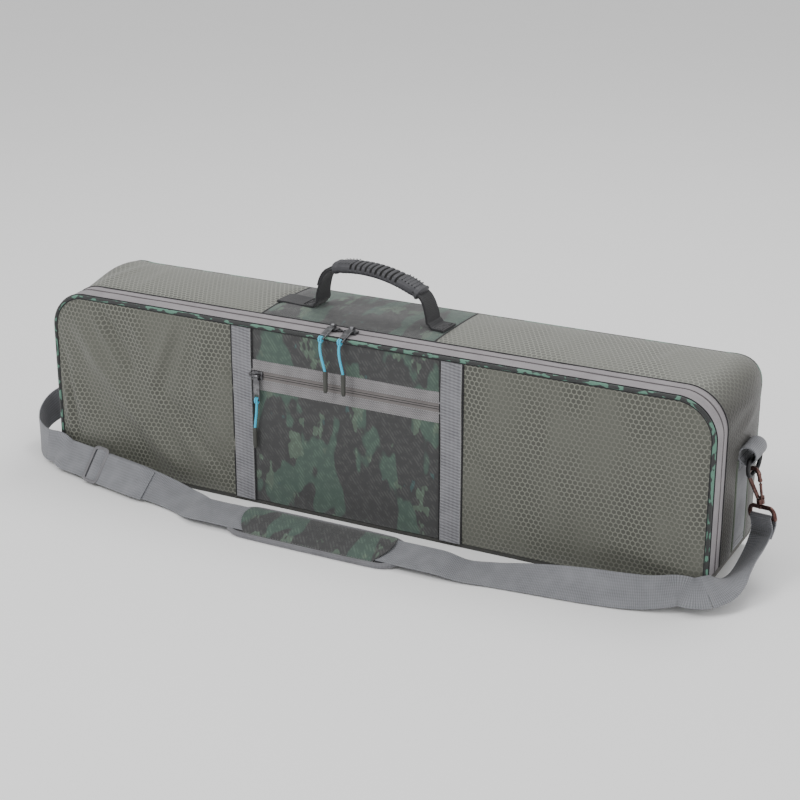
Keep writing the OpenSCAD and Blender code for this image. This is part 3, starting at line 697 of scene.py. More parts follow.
def round_path(s, y, out):
    """A path round the outline at depth y, moved outwards by out."""
    point, way = outline(s)
    return np.stack([point[:, 0] + out * way[:, 0], np.broadcast_to(y, s.shape), point[:, 1] + out * way[:, 1]], 1)


def ring_skin(name, s0, s1, y0, y1, inset, thick, mat, puff=None, step=4.0, **more):
    s = np.linspace(s0, s1, int(abs(s1 - s0) / step) + 2)
    y = np.linspace(y0, y1, max(3, int((y1 - y0) / step) + 2))
    grid_s, grid_y = np.meshgrid(s, y, indexing="ij")
    point, way = outline(grid_s)
    lift = puff(grid_s, grid_y) if puff else np.zeros_like(grid_s)
    outer_xz = point + (lift - inset)[..., None] * way
    inner_xz = point - (inset + thick) * way
    outer = np.stack([outer_xz[..., 0], grid_y, outer_xz[..., 1]], -1)
    inner = np.stack([inner_xz[..., 0], grid_y, inner_xz[..., 1]], -1)
    return shell(name, outer, inner, np.stack([grid_s, grid_y], -1), mat, **more)


# ---------------------------------------------------------------- fabric of the case
def gusset_lift(s, y):
    """How far the fabric of the top and ends stands out between the zip tape and the back piping."""
    across = np.clip(np.sin(np.pi * np.clip((y + 40.2) / 114.0, 0, 1)), 0, 1) ** 0.7
    mirror = np.minimum(s, ROUND - s)
    on_top = smoothstep(mirror, 610, 720)
    middle = smoothstep(mirror, 860, 960)
    height = 4.2 * (1 - on_top) + 6.0 * on_top * (1 - middle) + 3.4 * middle
    tab = np.exp(-((y - TAB_Y) / 24) ** 4) * (1 - smoothstep(mirror, 530, 560))
    lift = across * height * (1 - 0.75 * tab)
    lift = lift + across * 0.9 * ripples(s, y, 55, 4) * (1 - 0.6 * tab)
    for at, lean, tall in ((560, 22, 1.6), (598, -16, 1.8), (640, 18, 1.5), (700, -20, 1.0), (790, 16, 0.8),
                           (1330, 14, 1.0), (1392, -20, 1.6), (1432, 15, 1.8), (1478, -18, 1.3), (1540, 12, 1.0)):
        lift = lift + across * crease(s, y, (at, -38), (at + lean, 70), 7, tall)
    seam = np.exp(-((s - (TOP_X - TOP_PRINT_HI)) / 5) ** 2) + np.exp(-((s - (TOP_X - TOP_PRINT_LO)) / 5) ** 2)
    return np.maximum(lift * (1 - 0.6 * seam), 0.05) + corner_out(s) * smoothstep(y, -38, 60)


def top_lift_at(x, y):
    return float(gusset_lift(np.array([TOP_X - x]), np.array([float(y)]))[0])


def tape_lift(s, y):
    return 0.35 * ripples(s, y * 3, 60, 8) + 0.35


def make_case_fabric():
    right_end, left_end = RIGHT_Z + 24.2, LEFT_Z - 24.2
    ring_skin("end_skin_right", right_end, TOP_X - TOP_PRINT_HI - 0.4, -40.0, 73.9, 0, 2.2, "ripstop_top",
              gusset_lift, body="case", slot="ripstop", nodes=("gusset_right",))
    ring_skin("end_skin_left", TOP_X - TOP_PRINT_LO + 0.4, left_end, -40.0, 73.9, 0, 2.2, "ripstop_top",
              gusset_lift, body="case", slot="ripstop", nodes=("gusset_left",))
    for name, s0, s1 in (("right", 386.0, right_end), ("left", left_end, ROUND - 386.0)):
        ring_skin("corner_skin_" + name, s0, s1, -67.3, 73.8, 0.05, 2.1, "end_cloth", step=3.0,
                  body="case", slot="ripstop")
    ring_skin("print_top", TOP_X - TOP_PRINT_HI, TOP_X - TOP_PRINT_LO, -40.1, 73.8, 0, 2.2, "camo",
              gusset_lift, body="case", slot="camo", nodes=("top_print_panel",))
    for x in (TOP_PRINT_LO, TOP_PRINT_HI):
        y = np.linspace(-40, 73.5, 40)
        z = [TOP + top_lift_at(x, v) + 0.2 for v in y]
        sweep("seam_top_" + ("left" if x < 0 else "right"), np.stack([np.full(40, x), y, z], 1), (1, 0, 0),
              circle(1.1, 8, 0.6), "black_edge", body="case", slot="base_fabric")
    # zip tapes and coils
    ring_skin("zip_tape_case", right_end, left_end, -52.2, -40.0, 0, 1.2, "tape", tape_lift, step=3.0,
              body="case", slot="zip_tape", nodes=("case_zip_tape",))
    ring_skin("zip_tape_lid", right_end, left_end, -74.0, -55.8, 0, 1.2, "tape", tape_lift, step=3.0,
              body="lid", slot="zip_tape", nodes=("lid_zip_tape",))
    for name, s0, s1 in (("right", CORNER, right_end), ("left", left_end, ROUND - CORNER)):
        ring_skin("lid_corner_" + name, s0, s1, -74.0, -67.9, 0.1, 1.1, "end_cloth", step=2.0,
                  body="lid", slot="zip_tape")
    for body, y, node in (("case", -53.0, "case_zip_coil"), ("lid", -55.0, "lid_zip_coil")):
        pitch = 1.3
        s = np.arange(right_end, left_end, pitch / 2)
        path = round_path(s, y, -0.05)
        tooth = np.where(np.arange(len(s)) % 2 == 0, 1.0, 0.72)
        sweep("zip_coil_" + body, path, (0, 1, 0), circle(0.8, 8), "coil", body=body, slot="zip_coil",
              nodes=(node,), scale=tooth)
    # seam line between gusset and tape
    s = np.arange(right_end, left_end, 3.0)
    sweep("seam_case", round_path(s, -40.4, 0.9), (0, 1, 0), circle(0.9, 8, 0.7), "black_edge", body="case",
          slot="base_fabric")
    # piping
    s = np.arange(CORNER, ROUND - CORNER, 3.0)
    wobble = 0.25 * ripples(s, s * 0, 70, 3)
    sweep("piping_front", round_path(s, -FACE + wobble, -PIPE), (0, 1, 0), circle(PIPE, 12), "piping", body="lid",
          slot="piping", nodes=("lid_piping",))
    s = np.linspace(0, ROUND, 680)[:-1]
    sweep("piping_back", round_path(s, FACE, corner_out(s) - PIPE), (0, 1, 0), circle(PIPE, 12), "piping", closed=True,
          body="case", slot="piping",
          nodes=("back_piping",))
    # black lines beside the front piping: painted shade in the creases on both its sides
    s = np.arange(CORNER, ROUND - CORNER, 4.0)
    for tag, y, inset in (("a", -FACE - 0.5, 4.5), ("b", -FACE + 2.2, 0.2)):
        sweep("piping_shade_line_" + tag, round_path(s, y, -inset), (0, 1, 0), circle(0.9, 8), "black_edge", body="lid",
              slot="piping")


def edge_distance(x, z):
    """Distance from the outline, inwards."""
    x = np.abs(x)
    plain = np.minimum(np.minimum(END - x, TOP - z), z)
    top = TOP_R - np.hypot(np.maximum(x - (END - TOP_R), 0), np.maximum(z - (TOP - TOP_R), 0))
    low = FOOT_R - np.hypot(np.maximum(x - (END - FOOT_R), 0), np.maximum(FOOT_R - z, 0))
    near_top = (x > END - TOP_R) & (z > TOP - TOP_R)
    near_low = (x > END - FOOT_R) & (z < FOOT_R)
    return np.where(near_top, top, np.where(near_low, low, plain))


def half_width(z, inset, round_r=TOP_R):
    top = END - round_r + np.sqrt(np.maximum((round_r - inset) ** 2 - np.maximum(z - (TOP - round_r), 0) ** 2, 0))
    low = END - FOOT_R + np.sqrt(np.maximum((FOOT_R - inset) ** 2 - np.maximum(FOOT_R - z, 0) ** 2, 0))
    return np.where(z > TOP - round_r, top, np.where(z < FOOT_R, low, END - inset))


def face_skin(name, low, high, z0, z1, mat, puff, facing=-1, depth=SKIN_BACK, step=3.6, **more):
    """A panel of the front or back. low and high give its sides at each height."""
    count = int((z1 - z0) / step)
    z = z0 + (z1 - z0) * (np.arange(count + 1) / count)
    ends = z1 - 8 * (1 - np.cos(np.linspace(0, math.pi / 2, 6)))[::-1]
    z = np.concatenate([z[z < ends[0] - 1], ends])
    lo, hi = low(z), high(z)
    cols = int((hi - lo).max() / step) + 2
    u = np.linspace(0, 1, cols)
    x = lo[:, None] * (1 - u) + hi[:, None] * u
    zz = np.repeat(z[:, None], cols, 1)
    lift = puff(x, zz)
    outer = np.stack([x, facing * (FACE + lift), zz], -1)
    inner = np.stack([x, np.full_like(x, facing * depth), zz], -1)
    return shell(name, outer, inner, np.stack([x, zz], -1), mat, **more)


def side_lift(x, z):
    """Front panels beside the print: a soft pillow with the creases of a slack cover."""
    seam = 1 - np.exp(-np.maximum(edge_distance(x, z) - 4.4, 0) / 9)
    band = np.where(x < 0, -160 - x, x - 131)
    inner = 1 - np.exp(-np.maximum(band, 0) / 12)
    slack = np.where(x < 0, 1.0, 0.0)
    lift = (3.2 + 1.2 * slack) * seam * (0.25 + 0.75 * inner) \
        + (1.0 + 0.4 * slack) * seam * inner * ripples(x, z, 60, 11)
    folds = ((-350, 214, -322, 180, 6, -3.2), (-330, 192, -296, 132, 7, -3.4), (-378, 194, -340, 132, 12, 2.2),
             (-362, 158, -282, 70, 13, 2.6), (-316, 106, -228, 14, 13, 2.8), (-398, 140, -326, 56, 11, -2.0),
             (-346, 76, -292, 10, 11, -1.8), (-403, 164, -389, 72, 5, -3.2), (-393, 106, -384, 30, 5, -3.0),
             (-222, 214, -262, 112, 8, -2.8), (-262, 126, -190, 44, 8, -2.6), (-192, 200, -214, 112, 9, 2.2),
             (-214, 130, -160, 60, 9, 1.8), (-170, 168, -150, 140, 5, -1.6), (-300, 208, -276, 160, 8, 1.6),
             (-196, 60, -160, 14, 8, -1.6),
             (150, 206, 168, 50, 10, 1.6), (196, 206, 214, 30, 11, -1.5), (236, 204, 252, 44, 11, 1.6),
             (286, 206, 296, 36, 12, -1.4), (326, 206, 340, 40, 11, 1.6), (370, 190, 384, 50, 9, 1.8),
             (342, 206, 396, 166, 7, 1.8), (300, 46, 392, 26, 9, 1.2), (144, 130, 188, 96, 8, 1.2),
             (398, 150, 404, 50, 5, -1.6))
    for x0, z0, x1, z1, width, tall in folds:
        lift = lift + seam * crease(x, z, (x0, z0), (x1, z1), width, tall * (1.6 if x0 < 0 else 1.15))
    return np.where(lift > 0.6, lift, 0.15 + 0.45 * np.exp((lift - 0.6) / 0.45))


def print_lift(x, z):
    """Printed panel: flat at the zip, slack below it."""
    side = np.minimum(x - PRINT_LO, PRINT_HI - x)
    seam = 1 - np.exp(-np.maximum(side, 0) / 10)
    rim = 1 - np.exp(-np.maximum(edge_distance(x, z) - 4.4, 0) / 8)
    at_zip = 1 - np.exp(-((z - 160.5) / 19) ** 4)
    lift = 2.1 * seam * rim + 0.7 * seam * ripples(x, z, 70, 21)
    folds = ((-126, 134, -70, 108, 8, 1.0), (90, 130, 40, 104, 8, 0.9), (-60, 60, 40, 46, 12, 0.8),
             (-120, 40, -60, 22, 8, 0.8), (30, 90, 98, 70, 9, 0.8))
    for x0, z0, x1, z1, width, tall in folds:
        lift = lift + seam * crease(x, z, (x0, z0), (x1, z1), width, tall)
    return np.maximum(lift * (0.06 + 0.94 * at_zip), 0.05)


def back_lift(x, z):
    seam = 1 - np.exp(-np.maximum(edge_distance(x, z) - 4.4, 0) / 12)
    lift = 2.4 * seam + 0.9 * seam * ripples(x, z, 85, 31)
    folds = ((-390, 200, -300, 150, 8, 1.6), (390, 196, 310, 150, 8, 1.6), (-60, 210, -40, 60, 12, 0.9),
             (120, 205, 150, 70, 12, 0.9), (-250, 60, -120, 30, 12, 0.9))
    for x0, z0, x1, z1, width, tall in folds:
        lift = lift + seam * crease(x, z, (x0, z0), (x1, z1), width, tall)
    return np.maximum(lift, 0.1)


def make_panels():
    left_band, right_band = (PRINT_LO - 12.6), (PRINT_HI + 12.6)
    face_skin("skin_front_left", lambda z: -half_width(z, 4.0), lambda z: 0 * z + left_band, 5.0, 216.0, "ripstop",
              side_lift, body="lid", slot="ripstop", nodes=("lid_panel_left",))
    face_skin("skin_front_right", lambda z: 0 * z + right_band, lambda z: half_width(z, 4.0), 5.0, 216.0, "ripstop",
              side_lift, body="lid", slot="ripstop", nodes=("lid_panel_right",))
    face_skin("print_front", lambda z: 0 * z + left_band + 0.2, lambda z: 0 * z + right_band - 0.2, 5.0, 216.0, "camo",
              print_lift, body="lid", slot="camo", nodes=("lid_print_panel",))
    face_skin("skin_back", lambda z: -half_width(z, 4.0, 27.0), lambda z: half_width(z, 4.0, 27.0), 4.0, 216.0,
              "ripstop",
              back_lift, facing=1, step=5.0, body="case", slot="ripstop", nodes=("back_panel",))
    # webbing bands with a thin dark line along each edge: painted shade where the band meets the panel
    z = np.arange(4.6, 216.5, 3.0)
    for name, x in (("left", PRINT_LO - 12.5), ("right", PRINT_HI + 12.5)):
        y = -FACE - 1.5 - 0.25 * ripples(z, z * 0, 50, 5)
        sweep("band_" + name, np.stack([x + 0.3 * ripples(z, z * 0 + x, 90, 6), y, z], 1), (1, 0, 0),
              flat_section(BAND_W, 1.7, 12), "band", flat=True, body="lid", slot="webbing", nodes=("lid_band_" + name,))
        # painted shade: a dark line on the panel close beside the band's edge
        for tag, off in (("out", -13.6), ("in", 13.6)):
            sweep(f"band_shade_line_{name}_{tag}", np.stack([np.full(len(z), x + off), np.full(len(z), -FACE - 1.0), z], 1),
                  (1, 0, 0), circle(1.0, 8), "black_edge", body="lid", slot="webbing")
    # pocket zip
    x = np.linspace(PRINT_LO + 0.5, PRINT_HI - 0.5, 80)
    for name, z0 in (("upper", 172.5), ("lower", 148.5)):
        wave = 0.3 * ripples(x, x * 0 + z0, 60, 7)
        sweep("pocket_tape_" + name + "_cloth", np.stack([x, -FACE - 0.9 - wave, np.full(80, z0)], 1), (0, 0, 1),
              flat_section(12, 1.2, 8), "pocket_tape", flat=True, body="lid", slot="zip_tape",
              nodes=("pocket_tape_" + name,))
    sweep("pocket_zip_cloth", np.stack([x, np.full(80, -FACE - 0.9), np.full(80, 160.5)], 1), (0, 0, 1),
          flat_section(12, 1.5, 8), "pocket_coil", flat=True, body="lid", slot="zip_tape", nodes=("pocket_zip",))
    for z0 in (159.2, 161.8):
        sweep(f"pocket_line_{int(z0)}", np.stack([x, np.full(80, -FACE - 1.55), np.full(80, z0)], 1), (0, 0, 1),
              circle(0.45, 6, 0.7), "black_edge", body="lid", slot="zip_tape")
    for z0 in (154.6, 166.4):
        sweep(f"pocket_fold_{int(z0)}", np.stack([x, np.full(80, -FACE - 1.7), np.full(80, z0)], 1), (0, 0, 1),
              circle(0.9, 8, 0.7), "pocket_tape", body="lid", slot="zip_tape")


def make_inside():
    paint("foam", "gusset_foam", "back_board", "lid_board")
    paint("base", "base_panel", "lid_hinge_strip")
    paint("lining_box", "pocket_liner")
    ring_skin("lining_ring", 0.0, ROUND, -52.0, 67.6, 7.2, 1.0, "lining", None, step=6.0,
              body="case", slot="lining", nodes=("case_lining",))
    face_skin("lining_back", lambda z: -half_width(z, 7.4), lambda z: half_width(z, 7.4), 8.0, 212.6, "lining",
              lambda x, z: -8.4 - 0.5 * ripples(x, z, 80, 43) * np.clip(edge_distance(x, z) - 8, 0, 20) / 20,
              facing=1, depth=68.7, step=7.0, body="case", slot="lining")
    gx, gy = np.meshgrid(np.linspace(-394, 394, 120), np.linspace(-67.3, -52.1, 5), indexing="ij")
    floor_z = 8.2 + 0.2 * ripples(gx, gy, 70, 44)
    shell("lining_floor", np.stack([gx, gy, floor_z], -1), np.stack([gx, gy, np.full_like(gx, 7.3)], -1),
          np.stack([gx, gy], -1), "lining", body="case", slot="lining")
    face_skin("lining_lid", lambda z: -half_width(z, 2.0), lambda z: half_width(z, 2.0), 5.0, 217.6, "lining",
              lambda x, z: -8.2 - 0.25 * ripples(x, z, 80, 45), facing=-1, depth=68.7, step=7.0,
              body="lid", slot="lining", nodes=("lid_lining",))
    for name in ("divider_left", "divider_right"):
        piece = rounded_copy(name, "lining_box", body_with(name), 2.2, 4)


def stitches(name, path, body, mat="thread", slot="webbing"):
    """A row of thread stitches along a path."""
    pitch, length, r = 3.2, 2.2, 0.4
    path = np.asarray(path, float)
    s = lengths(path)
    points, faces, laid = [], [], []
    for start in np.arange(0.4, s[-1] - length, pitch):
        ends = [np.array([np.interp(start + d, s, path[:, k]) for k in range(3)])
                for d in (0, length * 0.25, length * 0.75, length)]
        along = unit(ends[-1] - ends[0])
        side = unit(np.cross(along, (0.31, 0.47, 0.83)))
        up = np.cross(along, side)
        base = len(points)
        for k, (centre, size) in enumerate(zip(ends, (0.4, 1.0, 1.0, 0.4))):
            for q in range(6):
                angle = q * math.pi / 3
                points.append(centre + r * size * (math.cos(angle) * side + math.sin(angle) * up))
                laid.append((start, q * 0.4))
        for k in range(3):
            for q in range(6):
                a, b = base + k * 6 + q, base + k * 6 + (q + 1) % 6
                faces.append((a, b, b + 6, a + 6))
        faces.append(tuple(base + q for q in range(6)))
        faces.append(tuple(base + 18 + q for q in range(6)))
    return build(name, points, faces, mat, body=body, slot=slot, laid=laid)


# ---------------------------------------------------------------- handle
YAW = math.radians(-2.5)
HANDLE_X, HANDLE_Y = -16.0, 5.0
ARCH_R, ARCH_HALF = 165.0, math.radians(20)
GRIP_SHIFT, GRIP_RISE, GRIP_TILT = 5.0, 56.0, math.radians(7.5)
ARCH_LOW = GRIP_RISE - ARCH_R


def handle_point(u, v, w):
    return np.stack(np.broadcast_arrays(HANDLE_X + u * math.cos(YAW) - v * math.sin(YAW),
                                        HANDLE_Y + u * math.sin(YAW) + v * math.cos(YAW),
                                        TOP + np.asarray(w, float)), -1)


def grip_point(u, v, w):
    """A point of the grip, which leans to the right about its crest."""
    rise = np.asarray(w, float) - GRIP_RISE
    return handle_point(GRIP_SHIFT + u * math.cos(GRIP_TILT) + rise * math.sin(GRIP_TILT), v,
                        GRIP_RISE - u * math.sin(GRIP_TILT) + rise * math.cos(GRIP_TILT))


HANDLE_V = vec(-math.sin(YAW), math.cos(YAW), 0)


def make_grip():
    theta = np.linspace(-ARCH_HALF, ARCH_HALF, 300)
    phi = np.arange(48) * 2 * math.pi / 48
    a = 13.5 * np.sign(np.cos(phi)) * np.abs(np.cos(phi)) ** 0.62
    b = 6.5 * np.sign(np.sin(phi)) * np.abs(np.sin(phi)) ** 0.8
    marks = -np.radians(2.25 * np.arange(-4.5, 5.0) + 1)
    arc = theta * ARCH_R
    notch = sum(np.exp(-((arc - m * ARCH_R) / 1.2) ** 4) for m in marks)
    end = (ARCH_HALF - np.abs(theta)) * ARCH_R
    size = 1 - 0.30 * np.exp(-(end / 0.9) ** 2) + 0.10 * np.exp(-((end - 2.4) / 1.6) ** 2) \
        - 0.05 * np.exp(-((end - 7) / 3) ** 2)
    ridge = np.where((end > 12) & (end < 30), 0.35 * np.cos((end - 12) * 2 * math.pi / 4.5), 0)
    on_top = smoothstep(b, 0.5, 3.5)[None, :]
    on_side = (smoothstep(b, -2.0, 1.0) * smoothstep(np.abs(a), 8.0, 13.0))[None, :]
    low = np.clip((-b - 2.0) / 2.5, 0, 1)[None, :]
    depth = b[None, :] * size[:, None] - 1.9 * notch[:, None] * on_top - ridge[:, None] * low * 0.6
    across = a[None, :] * (0.97 + 0.03 * size[:, None]) * np.minimum(size, 1.05)[:, None]
    across = across * (1 - 0.10 * notch[:, None] * on_side)
    radius = ARCH_R + depth
    grid = grip_point(radius * np.sin(theta)[:, None], across, ARCH_LOW + radius * np.cos(theta)[:, None])
    n, k = grid.shape[:2]
    faces = [(i * k + j, i * k + (j + 1) % k, (i + 1) * k + (j + 1) % k, (i + 1) * k + j)
             for i in range(n - 1) for j in range(k)]
    faces += [tuple(range(k)), tuple((n - 1) * k + j for j in range(k))]
    centre = grip_point(0, 0, ARCH_LOW)
    grip_u, grip_w = grip_point(1, 0, ARCH_LOW) - centre, grip_point(0, 0, ARCH_LOW + 1) - centre

    def in_notch(c):
        rel = np.array(c) - centre
        u, w = rel @ grip_u, rel @ grip_w
        away = np.abs(marks - math.atan2(u, w)).min() * ARCH_R
        return 1 if away < 1.15 and math.hypot(u, w) > ARCH_R + 0.4 else 0

    # faces in the notch grooves take the near-black notch material, painted shade
    build("grip_shape", grid.reshape(-1, 3), faces, ["grip", "notch"], body="handle", slot="grip_rubber",
          nodes=("handle_grip",), sharp=50, split=in_notch)
    # rows of small raised dots near both ends
    points, faces = [], []
    for sign in (-1, 1):
        for along in np.arange(9, 27, 4.2):
            for across_at in np.arange(-9, 9.1, 3.6):
                angle = sign * (ARCH_HALF - along / ARCH_R)
                top = ARCH_R + 6.2
                base = len(points)
                for ring, rise in ((1.1, 0.0), (0.85, 0.55), (0.35, 0.75)):
                    for q in range(8):
                        turn = q * math.pi / 4
                        du, dv = ring * math.cos(turn), ring * math.sin(turn)
                        r = top + rise
                        points.append(grip_point(r * math.sin(angle) + du, across_at + dv,
                                                 ARCH_LOW + r * math.cos(angle)))
                for ring in range(2):
                    for q in range(8):
                        i, j = base + ring * 8 + q, base + ring * 8 + (q + 1) % 8
                        faces.append((i, j, j + 8, i + 8))
                faces.append(tuple(base + 16 + q for q in range(8)))
                faces.append(tuple(base + q for q in range(8)))
    build("grip_dots", points, faces, "grip", body="handle", slot="grip_rubber")


def make_handle():
    make_grip()
    bends = {"left": [(76.5, 1.0), (74.8, 4.0), (73.6, 10), (72.0, 20), (69.8, 30), (66.8, 39), (63.0, 45.5),
                      (58.5, 50.0), (53.5, 52.8), (49.0, 53.8)],
             "right": [(76.5, 1.0), (74.6, 4.0), (73.0, 9), (71.2, 16), (69.2, 23), (66.8, 29.5), (63.6, 35.0),
                       (59.6, 38.8), (55.5, 41.2), (52.0, 43.2)]}
    for tag, sign, tail in (("left", -1, 126.0), ("right", 1, 93.0)):
        on = top_lift_at(HANDLE_X + sign * 84, HANDLE_Y - sign * 4) + 0.9
        profile = [(tail, on - 0.2), (tail - 6, on), (83, on + 0.1)] \
            + [(u, on + w if w < 5 else w) for u, w in bends[tag]]
        path, wide = smooth_rows([(handle_point(sign * u, 0, w), HANDLE_V) for u, w in profile], 2.5)
        rise = path[:, 2] - TOP
        narrow = 1 - 0.13 * smoothstep(rise, 12, 38)
        leg = sweep("handle_leg_" + tag, path, wide, flat_section(30, 2.6, 12), "black_web", flat=True,
                    scale=np.stack([narrow, np.ones(len(path))], 1), slot="black_webbing",
                    nodes=("handle_webbing", "handle_feet") if sign < 0 else ())
        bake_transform(leg)
        z = on + 1.3
        box = [(80, -12), (91, -12), (91, 12), (80, 12), (80, -12)]
        cross = [(80, -12), (91, 12), (91, -12), (80, 12)]
        for part, corners in (("box", box), ("cross", cross)):
            pts = []
            for (u0, v0), (u1, v1) in zip(corners[:-1], corners[1:]):
                t = np.linspace(0, 1, 12)[:, None]
                line = np.array([u0, v0]) * (1 - t) + np.array([u1, v1]) * t
                pts += [handle_point(sign * u, v, z) for u, v in line]
            stitches(f"handle_stitch_{tag}_{part}", pts, "case", mat="black_edge", slot="black_webbing")
        if sign < 0:
            rows = [(handle_point(sign * (u + 1.6), 0, w + 2.0), HANDLE_V) for u, w in bends[tag][4:8]]
            path, wide = smooth_rows(rows, 2.5)
            sweep("handle_fold", path, wide, flat_section(26, 2.2, 10), "black_web", flat=True, body="handle",
                  slot="black_webbing")


# ---------------------------------------------------------------- rings, hooks, end tabs
FOLD_X, FOLD_Z, FOLD_R, RING_LOW, RING_TOP = 426.0, 136.5, 9.6, 112.0, 132.0
TURN, TILT, LOOP_TURN = math.radians(-24), math.radians(15), math.radians(-14)
HOOK_U = 4.5


def hook_dir(u, v, w):
    a, b = u * math.cos(TILT) - w * math.sin(TILT), u * math.sin(TILT) + w * math.cos(TILT)
    return vec(a * math.cos(TURN) - v * math.sin(TURN), a * math.sin(TURN) + v * math.cos(TURN), b)


BAR = hook_dir(math.cos(LOOP_TURN), math.sin(LOOP_TURN), 0)
LOOP_OUT = hook_dir(-math.sin(LOOP_TURN), math.cos(LOOP_TURN), 0)


def loop_point(v, w):
    """A point beside the middle of the strap's bar: v behind it, w along the hook."""
    return vec(FOLD_X, TAB_Y, RING_LOW) + hook_dir(HOOK_U, 0, w) + v * LOOP_OUT


def flip(p):
    return vec(-p[0], p[1], p[2])


def make_ends():
    for tag, sign in (("left", -1), ("right", 1)):
        side = flip if sign < 0 else (lambda p: np.asarray(p, float))
        z = np.arange(26.5, 131, 4.0)
        lifts = gusset_lift(RIGHT_Z + z, np.full(len(z), TAB_Y))
        strip = [(END + l + 1.0, h) for l, h in zip(lifts, z)]
        angles = np.radians(np.linspace(172, -150, 26))
        arch = [(END + FOLD_R + 1.4 + FOLD_R * math.cos(a), FOLD_Z + FOLD_R * math.sin(a)) for a in angles]
        low = [(strip[-1][0] + 1.9, 127.0), (strip[-1][0] + 1.8, 122.0)]
        rows = [(side((x, TAB_Y, h)), (0, 1, 0)) for x, h in strip + arch + low]
        path, wide = smooth_rows(rows, 2.5)
        sweep("end_tab_cloth_" + tag, path, wide, flat_section(STRAP_W, 1.7, 14), "strap", flat=True, body="case",
              slot="webbing", nodes=("end_tab_" + tag,))
        for k, h in enumerate((30.0, 34.5, 118.0)):
            y = np.linspace(0.5, 35.5, 30)
            x = END + float(gusset_lift(np.array([RIGHT_Z + h]), np.array([TAB_Y]))[0]) + 1.95
            stitches(f"tab_stitch_{tag}_{k}", [side((x, v, h)) for v in y], "case")
        # narrow dark edging on both sides of the tab
        for k, y in enumerate((-3.4, 39.4)):
            lift = gusset_lift(RIGHT_Z + z, np.full(len(z), y))
            sweep(f"tab_edging_{tag}_{k}", [side((END + l + 0.3, y, h)) for l, h in zip(lift, z)], (0, 1, 0),
                  flat_section(5.0, 1.2, 5), "base_laid", flat=True, body="case", slot="base_fabric")
        # ring: flat moulded bar bent to a rounded rectangle
        half, loop = 22.0, []
        for cy, cz, start, bend in ((1, RING_LOW, -90, 13.0), (1, RING_TOP, 0, 6.0), (-1, RING_TOP, 90, 6.0),
                                    (-1, RING_LOW, 180, 13.0)):
            middle_z = cz + bend if cz == RING_LOW else cz - bend
            for a in np.radians(np.linspace(start, start + 90, 9)):
                loop.append(side((FOLD_X, TAB_Y + cy * (half - bend) + bend * math.cos(a),
                                  middle_z + bend * math.sin(a))))
        sweep("ring_shape_" + tag, loop, (1, 0, 0), circle(2.4, 14, 0.92), "ring", closed=True, body="ring_" + tag,
              slot="black_plastic", nodes=("d_ring_" + tag,))
        for node, body in (("snap_hook_", "hook_"), ("hook_gate_", "gate_"), ("hook_loop_", "loop_")):
            rounded_copy(node + tag, "bronze", body + tag, 0.3, 2)


# ---------------------------------------------------------------- strap, pad, adjuster
def on_floor(x, y, z, lean):
    way = vec(0, math.sin(math.radians(lean)), math.cos(math.radians(lean)))
    return (vec(x, y, z) + STRAP_W / 2 * way, way)


PAD_LEAN = math.radians(74)
PAD_AT = vec(-15, -162, 7.8)
PAD_HALF = 116.0
STRAP_LEAN, LINE_SLOPE = 36.0, -0.2125


def on_line(x):
    """Where the straight run through the adjuster meets the floor."""
    return -109.5 + LINE_SLOPE * (x + 390)


def pad_point(x, y, z):
    """x along the pad, y its thickness (front is negative), z across its width."""
    c, s = math.cos(PAD_LEAN), math.sin(PAD_LEAN)
    return np.stack(np.broadcast_arrays(PAD_AT[0] + x, PAD_AT[1] + y * c + z * s, PAD_AT[2] - y * s + z * c), -1)


def flatten_with_lid(piece):
    """Gives a soft piece its own copy of its mesh."""
    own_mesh(piece)


def ribbon(name, rows, thick=1.5, ride="strap", nodes=(), flatten=False, step=3.5, before=(), after=()):
    """Webbing along rows; the rows before and after only give its ends the right direction."""
    path, wide = smooth_rows([*before, *rows, *after], step)
    if before:
        k = int(np.argmin(np.linalg.norm(path - rows[0][0], axis=1)))
        path, wide = path[k:], wide[k:]
        path[0], wide[0] = rows[0][0], unit(rows[0][1])
    if after:
        k = int(np.argmin(np.linalg.norm(path - rows[-1][0], axis=1)))
        path, wide = path[:k + 1], wide[:k + 1]
        path[-1], wide[-1] = rows[-1][0], unit(rows[-1][1])
    s = lengths(path)
    wide = unit(wide + 0.02 * ripples(s, s * 0, 45, 17)[:, None] * np.cross(tangents(path), wide))
    piece = sweep(name, path, wide, flat_section(STRAP_W, thick, 14), "strap", flat=True, body=ride, slot="webbing",
                  nodes=nodes)
    if flatten:
        flatten_with_lid(piece)
    return piece


